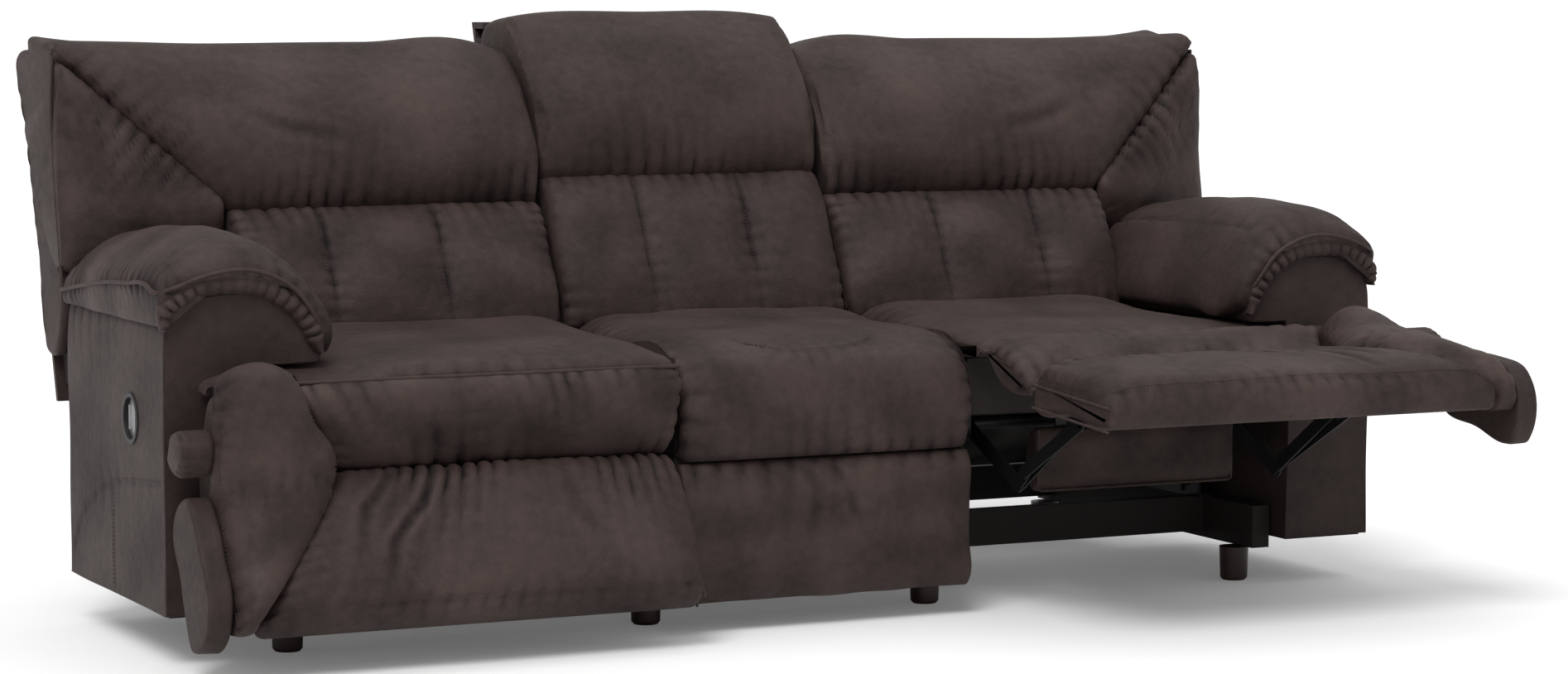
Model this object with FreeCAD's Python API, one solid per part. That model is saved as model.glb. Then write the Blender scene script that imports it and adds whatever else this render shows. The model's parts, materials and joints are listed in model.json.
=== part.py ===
import FreeCAD, Part
import math
import os

from FreeCAD import Placement, Rotation, Vector

os.makedirs("parts", exist_ok=True)

# Reclining sofa for three: two outer seats with a footrest, a fixed centre seat.
# Millimetres. X runs along the sofa, Y from front to back, Z up.
# While it is built, Y is 0 at the flat front of the arms and Z is 0 on the floor.
# The left footrest is shut and the right one is out. Both backs are upright.

# Overall plan
ARM_OUTER_X = 1150.0          # outer face of an arm
ARM_INNER_X = 970.0           # inner face of an arm
ARM_DEPTH = 560.0             # front to back
ARM_FLOOR_GAP = 80.0
CENTRE_HALF = 278.0           # half the width of the centre seat
SEAT_SPLIT = 6.0              # from the edge of the centre seat to an outer seat
SEAT_INNER_X = CENTRE_HALF + SEAT_SPLIT
SEAT_OUTER_X = 958.0          # where it ends, beside the arm
PAIR_GAP = 0.3                # between flat faces that only stand close

# Arm body: a boarded shell with a rolled top
ARM_WALL = 10.0
ARM_ROLL_INNER = (882.0, 496.0)     # x, z of the tip that hangs over the seat
ARM_ROLL_TOP = (1035.0, 603.0)
ARM_ROLL_OUTER = (1150.0, 538.0)
ARM_ROLL_FALL = (925.0, 573.0)      # middle of the arc down to the seat
ARM_ROLL_RISE = (1112.0, 586.0)     # middle of the arc down to the outer face
ARM_SHELF_Z = 484.0                 # underside of the overhanging roll

# Arm pad: pillow draped over the roll
PAD_TOP_Z = 687.0
PAD_TOP_X = 1000.0
PAD_OUTER_X = 1156.0
PAD_INNER_X = 868.0
PAD_LIFT = 1.0                # between the pad and the roll

# Release cup in the outer face of each arm
CUP_Y = 181.0
CUP_Z = 388.0
CUP_RIM = 43.0
CUP_RADIUS = 37.5
CUP_DEPTH = 34.0
CUP_WALL = 2.5
LEVER_PIN_R = 1.6
LEVER_TURN = 28.0             # degrees that the lever pulls out
RUN_FIT = 0.08                # radial clearance of a pin in its eye

# Seat box and cushions
BOX_TOP = 444.0
BOX_FRONT_Y = -20.0
BOX_BACK_Y = 510.0
BOX_BOARD = 20.0
BOX_RAIL_DEPTH = 84.0
FRONT_BOARD_BOTTOM = 345.0
CENTRE_BOARD_BOTTOM = 330.0
SEAT_TOP = 482.0
SEAT_CROWN = 13.0
SEAT_REAR_Y = 478.0
FOAM_BOTTOM = 372.0

# Mechanism planes of an outer seat, seen from the centre of the sofa
MECH_INSET = 61.0             # from the inner edge of the seat to its plates
MECH_INNER_X = SEAT_INNER_X + MECH_INSET
MECH_OUTER_X = 905.0
PLATE = 4.0
LAYER = 6.0                   # from one moving layer to the next
LINK = 4.0                    # thickness of a link
PLATE_BOTTOM = 147.0
PLATE_TOP = 440.0

# Glide of the seat on its base rails
GLIDE = 55.0
RAIL_T = 6.0
RAIL_GAP = 0.5
RAIL_BOTTOM = 140.0
RAIL_TOP = 192.0
ROLLER_R = 8.0
ROLLER_Z = 168.0
ROLLER_YS = (290.0, 520.0)
ROLLER_FIT = 0.3

# Back hinge
RECLINE = 28.0
BACK_PIVOT = (505.0, 385.0)   # y, z
BACK_PIN_R = 6.0

# Footrest: bridge pad hinged at the nose of the seat, then the ottoman
NOSE_HINGE = (-97.0, 462.0)   # y, z
BRIDGE_LENGTH = 173.5
BRIDGE_SPLIT_X = 874.0        # seam between the bridge pad and its fuller wing
BRIDGE_END_X = 1066.0
EAR_WIDTH = 70.0              # block under the curl, outside the bridge
WELT_R = 3.8                  # sewn welt that the bridge swings around
WELT_CLEAR = 4.1              # from the hinge line to the seat's nose
BRIDGE_OUT = 18.1             # degrees below level when the footrest is out
BRIDGE_SHUT = 110.9
OTTOMAN_OUT = 4.0
OTTOMAN_SHUT = 56.0
OTTOMAN_HINGE_UP = 27.0       # hinge line above the underside of the board
OTTOMAN_LENGTH = 266.0
OTTOMAN_BOARD = 38.0
OTTOMAN_START = 10.0
OTTOMAN_EDGE_X = 1100.0       # outer end of the ottoman board
SIDE_BLOCK_X = 1138.0         # outer face of the wedge beside it
APRON_X = (450.0, 860.0)      # padded panel between the links
APRON_Z = (197.0, 311.0)

# Footrest linkage, worked out so that both ends of the travel close exactly
DRIVE_PIVOT = (97.9, 316.1)   # y, z on the plates
DRIVE_LENGTH = 212.2
DRIVE_OUT = 204.5             # degrees of the drive link from +Y
DRIVE_SHUT = 292.1
UPPER_LENGTH = 218.1
UPPER_OUT = 146.8
UPPER_SHUT = 143.3
UPPER_EYE = (20.0, -59.4)     # along and out from the ottoman hinge
IDLER_ROOT = (228.7, -33.1)   # along and across the drive link
IDLER_LENGTH = 223.9
IDLER_OUT = 152.0
IDLER_SHUT = 145.4
IDLER_EYE = (66.7, -46.2)
LINK_HALF = 12.0
LINK_PIN_R = 4.0
UPPER_PLAY = 0.35             # play of the open pivot of the upper link
IDLER_PLAY = 3.9              # play of the open pivot of the idler link
TUBE_R = 12.0
TUBE_WALL = 2.0

# Base
BEAM_BOTTOM = 62.0
BEAM_TOP = 140.0
OUTER_BEAM_X = (930.0, 966.0)
INNER_BEAM_X = (CENTRE_HALF - 28.0, CENTRE_HALF + 12.0)
BEAM_FRONT = 45.0
BEAM_BACK = 850.0
CROSS_YS = (215.0, 790.0)
CROSS_DEPTH = 30.0
FOOT_R = 25.0
FOOT_TOP_R = 27.0
FOOT_YS = (87.0, 800.0)
FOOT_XS = (CENTRE_HALF - 7.0, 917.0)

# Backs
OUTER_BACK_TOP = 992.0
CENTRE_BACK_TOP = 1042.0
FRAME_DEPTH = 46.0            # depth of the posts in front of the rear panel
FRAME_FOOT = 400.0
WING_X = 1140.0
MITRE_X = 877.0               # where the mitred seam of an outer back starts
MITRE_Z = 722.0
WING_FRONT_Y = ARM_DEPTH + 26.0
LUMBAR_OUTER_X = 860.0
LUMBAR_BOTTOM = (407.0, 484.0)
LUMBAR_TOP = (505.0, 708.0)
OUTER_SEAMS = (0.345, 0.71)
CENTRE_SEAMS = (0.32, 0.68)
CREASE = 3.0                  # between the lumbar and the head pillow
BACK_SLOPE = 0.42             # how far the front of a back leans per height
CENTRE_RISE = 44.0            # how much higher the centre's seams are
REAR_FOOT = (672.0, 370.0)    # y, z of the rear panel at its foot
REAR_HEAD = (868.0, 985.0)
REAR_PANEL = 12.0
LOW_RAIL_Z = 412.0            # lower rail of a back, that its hinge arms are bolted to
BAND_FOOT = 600.0             # where the side band of an outer back starts
SOFT_GAP = 0.6                # between soft pieces and their neighbours


def pt(plane, at, a, b):
    """Point of an outline: plane "yz" holds (y, z) at x, "xz" holds (x, z) at y."""
    if plane == "yz":
        return Vector(at, a, b)
    return Vector(a, at, b)


def outline(plane, at, start, steps):
    """Closed wire of lines and arcs. A step is a point, or a pair (middle, end) for an arc."""
    edges = []
    here = pt(plane, at, *start)
    for step in steps + [start]:
        if isinstance(step[0], tuple):
            middle = pt(plane, at, *step[0])
            there = pt(plane, at, *step[1])
            edges.append(Part.Arc(here, middle, there).toShape())
        else:
            there = pt(plane, at, *step)
            if here.distanceToPoint(there) < 1e-6:
                continue
            edges.append(Part.LineSegment(here, there).toShape())
        here = there
    return Part.Wire(edges)


def slab(plane, low, high, start, steps):
    """Solid with one outline, from low to high across it."""
    face = Part.Face(outline(plane, low, start, steps))
    along = Vector(high - low, 0, 0) if plane == "yz" else Vector(0, high - low, 0)
    return face.extrude(along)


def eased(rows, extra):
    """Rows of section values, with extra rows eased in between each pair."""
    result = [rows[0]]
    for first, second in zip(rows, rows[1:]):
        for step in range(1, extra + 2):
            share = step / (extra + 1)
            ease = 0.5 - 0.5 * math.cos(math.pi * share)
            row = [mix(first[0], second[0], share)]
            row += [mix(a, b, ease) for a, b in zip(first[1:], second[1:])]
            result.append(tuple(row))
    return result


def padded(section, rows, extra=2):
    """Cushion through the sections of eased rows; each row starts with its place."""
    return Part.makeLoft([section(*row) for row in eased(rows, extra)], True, True)


def block(x0, x1, y0, y1, z0, z1):
    """Plain board between two corners."""
    return Part.makeBox(x1 - x0, y1 - y0, z1 - z0, Vector(x0, y0, z0))


def rod(x0, x1, y, z, radius):
    """Round bar along X."""
    return Part.makeCylinder(radius, x1 - x0, Vector(x0, y, z), Vector(1, 0, 0))


def ring(x0, x1, y, z, radius, bore):
    """Round bar along X with a bore."""
    return rod(x0, x1, y, z, radius).cut(rod(x0 - 1, x1 + 1, y, z, bore))


def bar(x0, x1, points, half):
    """Flat link with round ends through its eyes, given as (y, z) points in a row."""
    body = rod(x0, x1, *points[0], half)
    for first, second in zip(points, points[1:]):
        angle = math.atan2(second[1] - first[1], second[0] - first[0])
        length = math.dist(first, second)
        web = block(x0, x1, 0, length, -half, half)
        web = placed(web, first, math.degrees(angle))
        body = body.fuse(web).fuse(rod(x0, x1, *second, half))
    return body.removeSplitter()


def placed(shape, at, degrees):
    """Shape turned about X by degrees from +Y to +Z, then set at (y, z)."""
    turned = shape.copy()
    turn = Rotation(Vector(1, 0, 0), degrees)
    turned.Placement = Placement(Vector(0, at[0], at[1]), turn).multiply(turned.Placement)
    return turned


def ahead(at, degrees, along, across=0.0):
    """Point at along and across in a frame at (y, z) turned by degrees."""
    c = math.cos(math.radians(degrees))
    s = math.sin(math.radians(degrees))
    return (at[0] + along * c - across * s, at[1] + along * s + across * c)


def mix(low, high, share):
    """Value at a share of the way from low to high."""
    return low + (high - low) * share


def mirrored(shape):
    """The same shape on the other side of the sofa."""
    return shape.mirror(Vector(0, 0, 0), Vector(1, 0, 0))


class Footrest:
    """Where the footrest's pieces are when it is shut by a share: 0 is out, 1 is shut."""

    def __init__(self, shut):
        self.bridge = 180.0 + mix(BRIDGE_OUT, BRIDGE_SHUT, shut)
        self.ottoman = 180.0 + mix(OTTOMAN_OUT, OTTOMAN_SHUT, shut)
        self.drive = mix(DRIVE_OUT, DRIVE_SHUT, shut)
        self.upper = mix(UPPER_OUT, UPPER_SHUT, shut)
        self.idler = mix(IDLER_OUT, IDLER_SHUT, shut)
        self.ottoman_hinge = ahead(NOSE_HINGE, self.bridge, BRIDGE_LENGTH)
        self.upper_root = ahead(DRIVE_PIVOT, self.drive, DRIVE_LENGTH)
        self.idler_root = ahead(DRIVE_PIVOT, self.drive, *IDLER_ROOT)

    def on_bridge(self, shape):
        return placed(shape, NOSE_HINGE, self.bridge)

    def on_ottoman(self, shape):
        return placed(shape, self.ottoman_hinge, self.ottoman)

    def eye(self, point):
        return ahead(self.ottoman_hinge, self.ottoman, point[0], -point[1])


def mech_layers(count):
    """x range of a layer on the inner and on the outer side of the seat."""
    step = PLATE + 2.0 + LAYER * (count - 1) if count else 0.0
    thick = LINK if count else PLATE
    inner = (MECH_INNER_X + step, MECH_INNER_X + step + thick)
    outer = (MECH_OUTER_X - step - thick, MECH_OUTER_X - step)
    return inner, outer


# Arms


def arm_outline(y, grow):
    """Upright section of the arm body, grow outside its boards."""
    inner = ARM_INNER_X - grow
    outer = ARM_OUTER_X + grow
    foot = ARM_FLOOR_GAP
    tip = (ARM_ROLL_INNER[0] - grow, ARM_ROLL_INNER[1])
    top = (ARM_ROLL_TOP[0], ARM_ROLL_TOP[1] + grow)
    shoulder = (outer, ARM_ROLL_OUTER[1])
    fall = (ARM_ROLL_FALL[0] - grow * 0.7, ARM_ROLL_FALL[1] + grow * 0.7)
    rise = (ARM_ROLL_RISE[0] + grow * 0.7, ARM_ROLL_RISE[1] + grow * 0.7)
    steps = [(inner, ARM_SHELF_Z - grow), (tip[0] + 6.0, ARM_SHELF_Z - grow), tip,
             (fall, top), (rise, shoulder), (outer, foot)]
    return outline("xz", y, (inner, foot), steps)


def arm_cover():
    """Upholstered boards of an arm: front, rear, sides and rolled top, open below."""
    outer = Part.Face(arm_outline(0, 0)).extrude(Vector(0, ARM_DEPTH, 0))
    hollow = Part.Face(arm_outline(ARM_WALL, -ARM_WALL))
    hollow = hollow.extrude(Vector(0, ARM_DEPTH - 2 * ARM_WALL, 0))
    cover = outer.cut(hollow)
    front_edges = [e for e in cover.Edges
                   if e.BoundBox.YMax < 0.1 and e.BoundBox.XMin > ARM_OUTER_X - 1.0]
    cover = cover.makeFillet(8.0, front_edges)
    mouth = rod(ARM_OUTER_X - ARM_WALL - 5, ARM_OUTER_X + 5, CUP_Y, CUP_Z, CUP_RADIUS + PAIR_GAP)
    return cover.cut(mouth)


def arm_frame():
    """Wooden posts and boards inside an arm, each a piece of its own."""
    low_x = ARM_INNER_X + ARM_WALL
    high_x = ARM_OUTER_X - ARM_WALL
    front = ARM_WALL
    rear = ARM_DEPTH - ARM_WALL
    post = 40.0
    sole = 20.0
    head_z = 470.0
    foot = ARM_FLOOR_GAP
    return [block(low_x, high_x, front, rear, foot, foot + sole),
            block(low_x, high_x, front, front + post, foot + sole, head_z),
            block(low_x, high_x, rear - post, rear, foot + sole, head_z),
            block(low_x, high_x, front, rear, head_z, head_z + sole)]


def pad_section(y, swell, lip, inner_z):
    """Section of the arm pad: swell adds height, lip is the height of its outer seam."""
    base = PAD_LIFT
    outer_tip = (PAD_OUTER_X, lip)
    inner_tip = (PAD_INNER_X, inner_z)
    under_top = (ARM_ROLL_TOP[0], ARM_ROLL_TOP[1] + base)
    under_outer = (ARM_OUTER_X + base, ARM_ROLL_OUTER[1] + 8.0)
    under_inner = (ARM_ROLL_INNER[0] - base - 2.0, ARM_ROLL_INNER[1] + 2.0)
    rise = (ARM_ROLL_RISE[0] + base * 0.7, ARM_ROLL_RISE[1] + base * 2.2)
    fall = (ARM_ROLL_FALL[0] - base * 1.5, ARM_ROLL_FALL[1] + base * 2.5)
    crown = (PAD_TOP_X, PAD_TOP_Z + swell)
    outer_arc = (1102.0, 0.5 * (lip + PAD_TOP_Z) + 22.0 + swell * 0.5)
    inner_arc = (905.0, 622.0 + swell * 0.5)
    return outline("xz", y, under_inner,
                   [(fall, under_top), (rise, under_outer), outer_tip,
                    (outer_arc, crown), (inner_arc, inner_tip)])


def arm_pad():
    """Pillow over the arm, with its pinched lip low behind and high in front."""
    stations = ((4.0, -34.0, 628.0, 520.0), (40.0, -6.0, 619.0, 497.0),
                (150.0, 3.0, 612.0, 494.0), (300.0, 0.0, 603.0, 494.0),
                (440.0, -3.0, 588.0, 495.0), (ARM_DEPTH - 4.0, -20.0, 576.0, 500.0))
    return padded(pad_section, stations)


def release_cup():
    """Round dish let into the arm, with the pin that carries its lever."""
    bore = CUP_RADIUS - CUP_WALL
    floor = -CUP_DEPTH - CUP_WALL
    profile = [(0, floor), (CUP_RADIUS, floor), (CUP_RADIUS, 0.1), (CUP_RIM, 0.1),
               (CUP_RIM, 1.8), (CUP_RIM - 1.4, 3.0), (bore + 0.8, 3.0), (bore, 2.2),
               (bore, -CUP_DEPTH), (0, -CUP_DEPTH), (0, floor)]
    face = Part.Face(Part.makePolygon([Vector(x, r, 0) for r, x in profile]))
    dish = face.revolve(Vector(0, 0, 0), Vector(1, 0, 0), 360)
    dish.translate(Vector(ARM_OUTER_X, CUP_Y, CUP_Z))
    pin_y, pin_x = lever_hinge()
    reach = math.sqrt((CUP_RADIUS - 1.0) ** 2 - (pin_y - CUP_Y) ** 2)
    pin = Part.makeCylinder(LEVER_PIN_R, 2 * reach, Vector(pin_x, pin_y, CUP_Z - reach))
    return dish.fuse(pin)


def lever_hinge():
    """y and x of the lever's upright pin, near the rear of the cup."""
    return CUP_Y + 22.0, ARM_OUTER_X - 7.0


def release_lever():
    """Paddle that fills the rear of the cup and leaves a finger gap in front of it."""
    pin_y, pin_x = lever_hinge()
    gap_edge = CUP_Y - 8.0
    radius = CUP_RADIUS - CUP_WALL - 1.5
    plate = rod(pin_x - 2.0, pin_x + 2.5, CUP_Y, CUP_Z, radius)
    plate = plate.common(block(pin_x - CUP_RIM, pin_x + CUP_RIM, gap_edge, pin_y + 3.5,
                               CUP_Z - CUP_RIM, CUP_Z + CUP_RIM))
    half = 0.8 * math.sqrt(radius ** 2 - (pin_y - CUP_Y) ** 2)
    barrel = Part.makeCylinder(4.2, 2 * half, Vector(pin_x, pin_y, CUP_Z - half))
    lip = block(pin_x - 9.0, pin_x, gap_edge, gap_edge + 3.0, CUP_Z - 20.0, CUP_Z + 20.0)
    bore = Part.makeCylinder(LEVER_PIN_R + RUN_FIT, 200, Vector(pin_x, pin_y, CUP_Z - 100))
    return plate.fuse(barrel).fuse(lip).cut(bore)


# Base under the seats


def base_beams():
    """Long and cross beams of the base, each a piece of its own."""
    pieces = []
    for low, high in (OUTER_BEAM_X, INNER_BEAM_X):
        for side in (1, -1):
            x0, x1 = sorted((low * side, high * side))
            pieces.append(block(x0, x1, BEAM_FRONT, BEAM_BACK, BEAM_BOTTOM, BEAM_TOP))
    spans = [(-INNER_BEAM_X[0], INNER_BEAM_X[0])]
    for side in (1, -1):
        spans.append(tuple(sorted((INNER_BEAM_X[1] * side, OUTER_BEAM_X[0] * side))))
    for x0, x1 in spans:
        for y in CROSS_YS:
            pieces.append(block(x0, x1, y, y + CROSS_DEPTH, BEAM_BOTTOM + 12.0, BEAM_TOP))
    for side in (1, -1):
        x0, x1 = sorted((OUTER_BEAM_X[1] * side, (ARM_INNER_X + ARM_WALL) * side))
        for y in CROSS_YS:
            if y < ARM_DEPTH:
                bridge = block(x0, x1, y, y + CROSS_DEPTH, ARM_FLOOR_GAP - 18.0, ARM_FLOOR_GAP)
                pieces.append(bridge)
    return pieces


def foot(x, y):
    """Turned foot, a little wider at the top and rounded where it meets the floor."""
    profile = [Vector(0, 0, 0), Vector(FOOT_R - 4.0, 0, 0), Vector(FOOT_R, 0, 5.0),
               Vector(FOOT_TOP_R, 0, BEAM_BOTTOM), Vector(0, 0, BEAM_BOTTOM), Vector(0, 0, 0)]
    face = Part.Face(Part.makePolygon(profile))
    turned = face.revolve(Vector(0, 0, 0), Vector(0, 0, 1), 360)
    turned.translate(Vector(x, y, 0))
    return turned


def base_rail(side_x, toward):
    """Steel angle beside a plate, with a long slot for each roller of the seat."""
    near = side_x - toward * RAIL_GAP
    far = near - toward * RAIL_T
    x0, x1 = sorted((near, far))
    front = ROLLER_YS[0] - GLIDE - 40.0
    rear = CROSS_YS[1] + CROSS_DEPTH
    rail = block(x0, x1, front, rear, RAIL_BOTTOM, RAIL_TOP)
    foot_x = sorted((far, far - toward * 22.0))
    rail = rail.fuse(block(*foot_x, front, rear, RAIL_BOTTOM, RAIL_BOTTOM + RAIL_T))
    for y in ROLLER_YS:
        half = ROLLER_R + ROLLER_FIT
        slot = block(x0 - 1, x1 + 1, y - GLIDE - 6.0, y + 6.0, ROLLER_Z - half, ROLLER_Z + half)
        slot = slot.fuse(rod(x0 - 1, x1 + 1, y - GLIDE - 6.0, ROLLER_Z, half))
        slot = slot.fuse(rod(x0 - 1, x1 + 1, y + 6.0, ROLLER_Z, half))
        rail = rail.cut(slot)
    return rail.removeSplitter()


# Outer seats


def mechanism_plates():
    """Two steel side plates with their rollers, the drive bushes and the back pins."""
    pieces = []
    for index, (x0, x1) in enumerate(mech_layers(0)):
        toward = 1 if index == 0 else -1
        shape = slab("yz", x0, x1, (60.0, 300.0),
                     [(150.0, 250.0), (240.0, 190.0), (250.0, PLATE_BOTTOM),
                      (548.0, PLATE_BOTTOM), (548.0, 300.0),
                      ((545.0, 410.0), (480.0, PLATE_TOP)), (20.0, PLATE_TOP), (20.0, 405.0),
                      (60.0, 370.0)])
        window = slab("yz", x0 - 1, x1 + 1, (230.0, 270.0), [(400.0, 225.0), (430.0, 225.0),
                                                             (430.0, 370.0), (230.0, 370.0)])
        shape = shape.cut(window)
        shape = shape.cut(rod(x0 - 1, x1 + 1, *DRIVE_PIVOT, TUBE_R + RUN_FIT))
        inside = x1 if toward > 0 else x0
        outside = x0 if toward > 0 else x1
        for y in ROLLER_YS:
            low, high = sorted((outside, outside - toward * (RAIL_GAP + RAIL_T + 1.0)))
            shape = shape.fuse(rod(low, high, y, ROLLER_Z, ROLLER_R))
            low, high = sorted((outside - toward * (RAIL_GAP + RAIL_T + 0.5),
                                outside - toward * (RAIL_GAP + RAIL_T + 3.5)))
            shape = shape.fuse(rod(low, high, y, ROLLER_Z, ROLLER_R + 4.0))
        low, high = sorted((inside, inside + toward * (LAYER + LINK)))
        shape = shape.fuse(rod(low, high, *BACK_PIVOT, BACK_PIN_R))
        pieces.append(shape)
    return pieces


def apron_straps():
    """Two steel straps that hang the lower panel from the seat box."""
    return [block(x, x + 30.0, 22.0, 26.0, 205.0, 398.0) for x in (500.0, 780.0)]


def seat_box():
    """Boards of the seat: front, rear, two sides and the cleat behind the front board."""
    low = MECH_INNER_X - 30.0
    high = MECH_OUTER_X + 30.0
    rail_bottom = BOX_TOP - BOX_RAIL_DEPTH
    pieces = [block(SEAT_INNER_X + 14.0, SEAT_OUTER_X - 8.0, BOX_FRONT_Y, 0.0,
                    FRONT_BOARD_BOTTOM, BOX_TOP)]
    pieces.append(block(low, MECH_INNER_X, 0.0, BOX_BACK_Y - BOX_BOARD, rail_bottom, BOX_TOP))
    pieces.append(block(MECH_OUTER_X, high, 0.0, BOX_BACK_Y - BOX_BOARD, rail_bottom, BOX_TOP))
    rear_low = MECH_INNER_X + PLATE
    rear_high = MECH_OUTER_X - PLATE
    rear_y = BOX_BACK_Y - 2 * BOX_BOARD - 4.0
    pieces.append(block(rear_low, rear_high, rear_y, rear_y + BOX_BOARD, rail_bottom, 430.0))
    pieces.append(block(450.0, 860.0, 0.0, 22.0, 362.0, 402.0))
    return pieces


def seat_webbing():
    """Elastic straps from plate to plate under the foam."""
    straps = []
    low = MECH_INNER_X + PLATE
    high = MECH_OUTER_X - PLATE
    for row in range(6):
        y = 60.0 + row * 68.0
        straps.append(block(low, high, y, y + 48.0, FOAM_BOTTOM - 3.6, FOAM_BOTTOM - SOFT_GAP))
    return straps


def seat_rear(top):
    """Rounded rear of a seat cushion, up from the box to its crown."""
    low_z = BOX_TOP + 2.0
    high_z = top - 16.0
    bulge = 0.45 * (high_z - low_z)
    return [(SEAT_REAR_Y - 14.0, low_z),
            ((SEAT_REAR_Y - 14.0 + bulge, 0.5 * (low_z + high_z)), (SEAT_REAR_Y - 14.0, high_z))]


def seat_section(x, rise, nose):
    """Section of a seat cushion's top pad: rise lifts its crown, nose pulls in its front."""
    hinge_y, hinge_z = NOSE_HINGE
    front = hinge_y + WELT_CLEAR + nose
    top = SEAT_TOP + rise
    return outline("yz", x, (front + 9.0, hinge_z - 4.0),
                   [(-30.0, BOX_TOP + 3.0)] + seat_rear(top)
                   + [((190.0, top + SEAT_CROWN), (-20.0, top)),
                      ((mix(-20.0, front, 0.6), mix(top, hinge_z, 0.35)), (front, hinge_z))])


def seat_cushion():
    """Crowned top pad with its foam, the wing root in front of the arm, and the nose welt."""
    low = SEAT_INNER_X + 2.0
    high = SEAT_OUTER_X - 2.0
    roll = ARM_ROLL_INNER[0]
    rows = ((low, -11.0, 6.0), (low + 40.0, -2.0, 1.0), (480.0, 2.0, 0.0), (640.0, 3.0, 0.0),
            (780.0, 0.0, 0.0), (roll - 30.0, -12.0, 0.5), (high, -16.0, 1.0))
    pad = padded(seat_section, rows)
    foam = block(MECH_INNER_X + 15.0, MECH_OUTER_X - 15.0, 34.0, 462.0, FOAM_BOTTOM,
                 BOX_TOP + 8.0)
    body = pad.fuse(foam)
    root_rows = ((high + PAIR_GAP, 4.0, 0.0), (1020.0, 6.0, 1.0), (1062.0, 0.0, 3.0),
                 (1096.0, -16.0, 10.0))
    root = padded(wing_root_section, root_rows, 1)
    welt = rod(low + 4.0, 1086.0, *NOSE_HINGE, WELT_R)
    return [body, root, welt]


def wing_root_section(x, rise, nose):
    """Section of the padded block between the seat's nose and the arm front."""
    hinge_y, hinge_z = NOSE_HINGE
    front = hinge_y + WELT_CLEAR + nose
    rear = -3.0
    top = 478.0 + rise
    return outline("yz", x, (front + 9.0, hinge_z - 4.0),
                   [(-40.0, BOX_TOP - 2.0), (rear, BOX_TOP - 2.0), (rear, top),
                    ((mix(rear, front, 0.55), top - 1.0), (front, hinge_z))])


def lower_apron():
    """Padded panel that hangs under the seat box, between the links."""
    panel = block(*APRON_X, 4.0, 22.0, *APRON_Z)
    edges = [e for e in panel.Edges if e.BoundBox.YMax < 4.1]
    panel = panel.makeFillet(6.0, edges)
    return panel


def bridge_section(x, bulge, start, stop):
    """Section of the bridge pad along its chord from the nose hinge."""
    return outline("yz", x, (start, -1.0),
                   [(start + 22.0, 17.0), ((0.55 * stop, 36.0 + bulge * 0.3), (stop - 6.0, 13.0)),
                    (stop, 2.0), (stop - 8.0, -8.0 - 0.2 * bulge),
                    ((0.48 * stop, -20.0 - bulge), (start + 8.0, -5.0))])


def bridge_pad():
    """Roll that fills the step from the seat to the ottoman."""
    low = SEAT_INNER_X + 2.0
    rows = ((low, -6.0, 10.0, 160.0), (low + 36.0, 0.0, 4.0, 168.0), (580.0, 2.0, 4.0, 169.0),
            (840.0, 0.0, 4.0, 168.0), (BRIDGE_SPLIT_X, -5.0, 8.0, 163.0))
    return padded(bridge_section, rows)


def bridge_wing():
    """Outer stretch of the bridge, fuller, in front of the arm."""
    rows = ((BRIDGE_SPLIT_X + PAIR_GAP, -4.0, 8.0, 163.0), (920.0, 10.0, 4.0, 168.0),
            (1000.0, 12.0, 4.0, 168.0), (BRIDGE_END_X, 2.0, 10.0, 160.0))
    return padded(bridge_section, rows)


def ear_block():
    """Small padded block outside the bridge, under the curl of the wing."""
    end = BRIDGE_END_X + EAR_WIDTH
    solid = block(BRIDGE_END_X + PAIR_GAP, end, 85.0, 148.0, -38.0, 26.0)
    edges = [e for e in solid.Edges if e.BoundBox.XMin > end - 0.1]
    return solid.makeFillet(7.0, edges)


def ottoman_board():
    """Boarded box under the ottoman pad, with its boxing border."""
    top = OTTOMAN_HINGE_UP - OTTOMAN_BOARD
    board = block(SEAT_INNER_X + 10.0, OTTOMAN_EDGE_X, OTTOMAN_START, OTTOMAN_LENGTH, top,
                  OTTOMAN_HINGE_UP)
    edges = [e for e in board.Edges if e.BoundBox.YMin > OTTOMAN_LENGTH - 0.1]
    return board.makeFillet(5.0, edges)


def ottoman_section(x, crown, draw):
    """Section of the ottoman pad, along from the hinge and out from the board."""
    base = OTTOMAN_BOARD - OTTOMAN_HINGE_UP + SOFT_GAP
    out = base + 30.0 + crown
    tip = OTTOMAN_LENGTH + 2.0 - draw
    return outline("yz", x, (12.0 + draw, -base),
                   [(34.0 + draw, -out), ((140.0, -out - 17.0), (tip - 26.0, -out + 6.0)),
                    ((tip - 4.0, -0.5 * (out + base) - 4.0), (tip, -base))])


def ottoman_pad():
    """Crowned pad with a mitred channel where its wing begins."""
    low = SEAT_INNER_X + 2.0
    rows = ((low, -16.0, 5.0), (low + 45.0, 0.0, 0.0), (560.0, 4.0, 0.0), (840.0, 2.0, 0.0),
            (900.0, -7.0, 0.0), (960.0, 4.0, 0.0), (1060.0, 2.0, 1.0), (1128.0, -19.0, 5.0))
    return padded(ottoman_section, rows)


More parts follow.
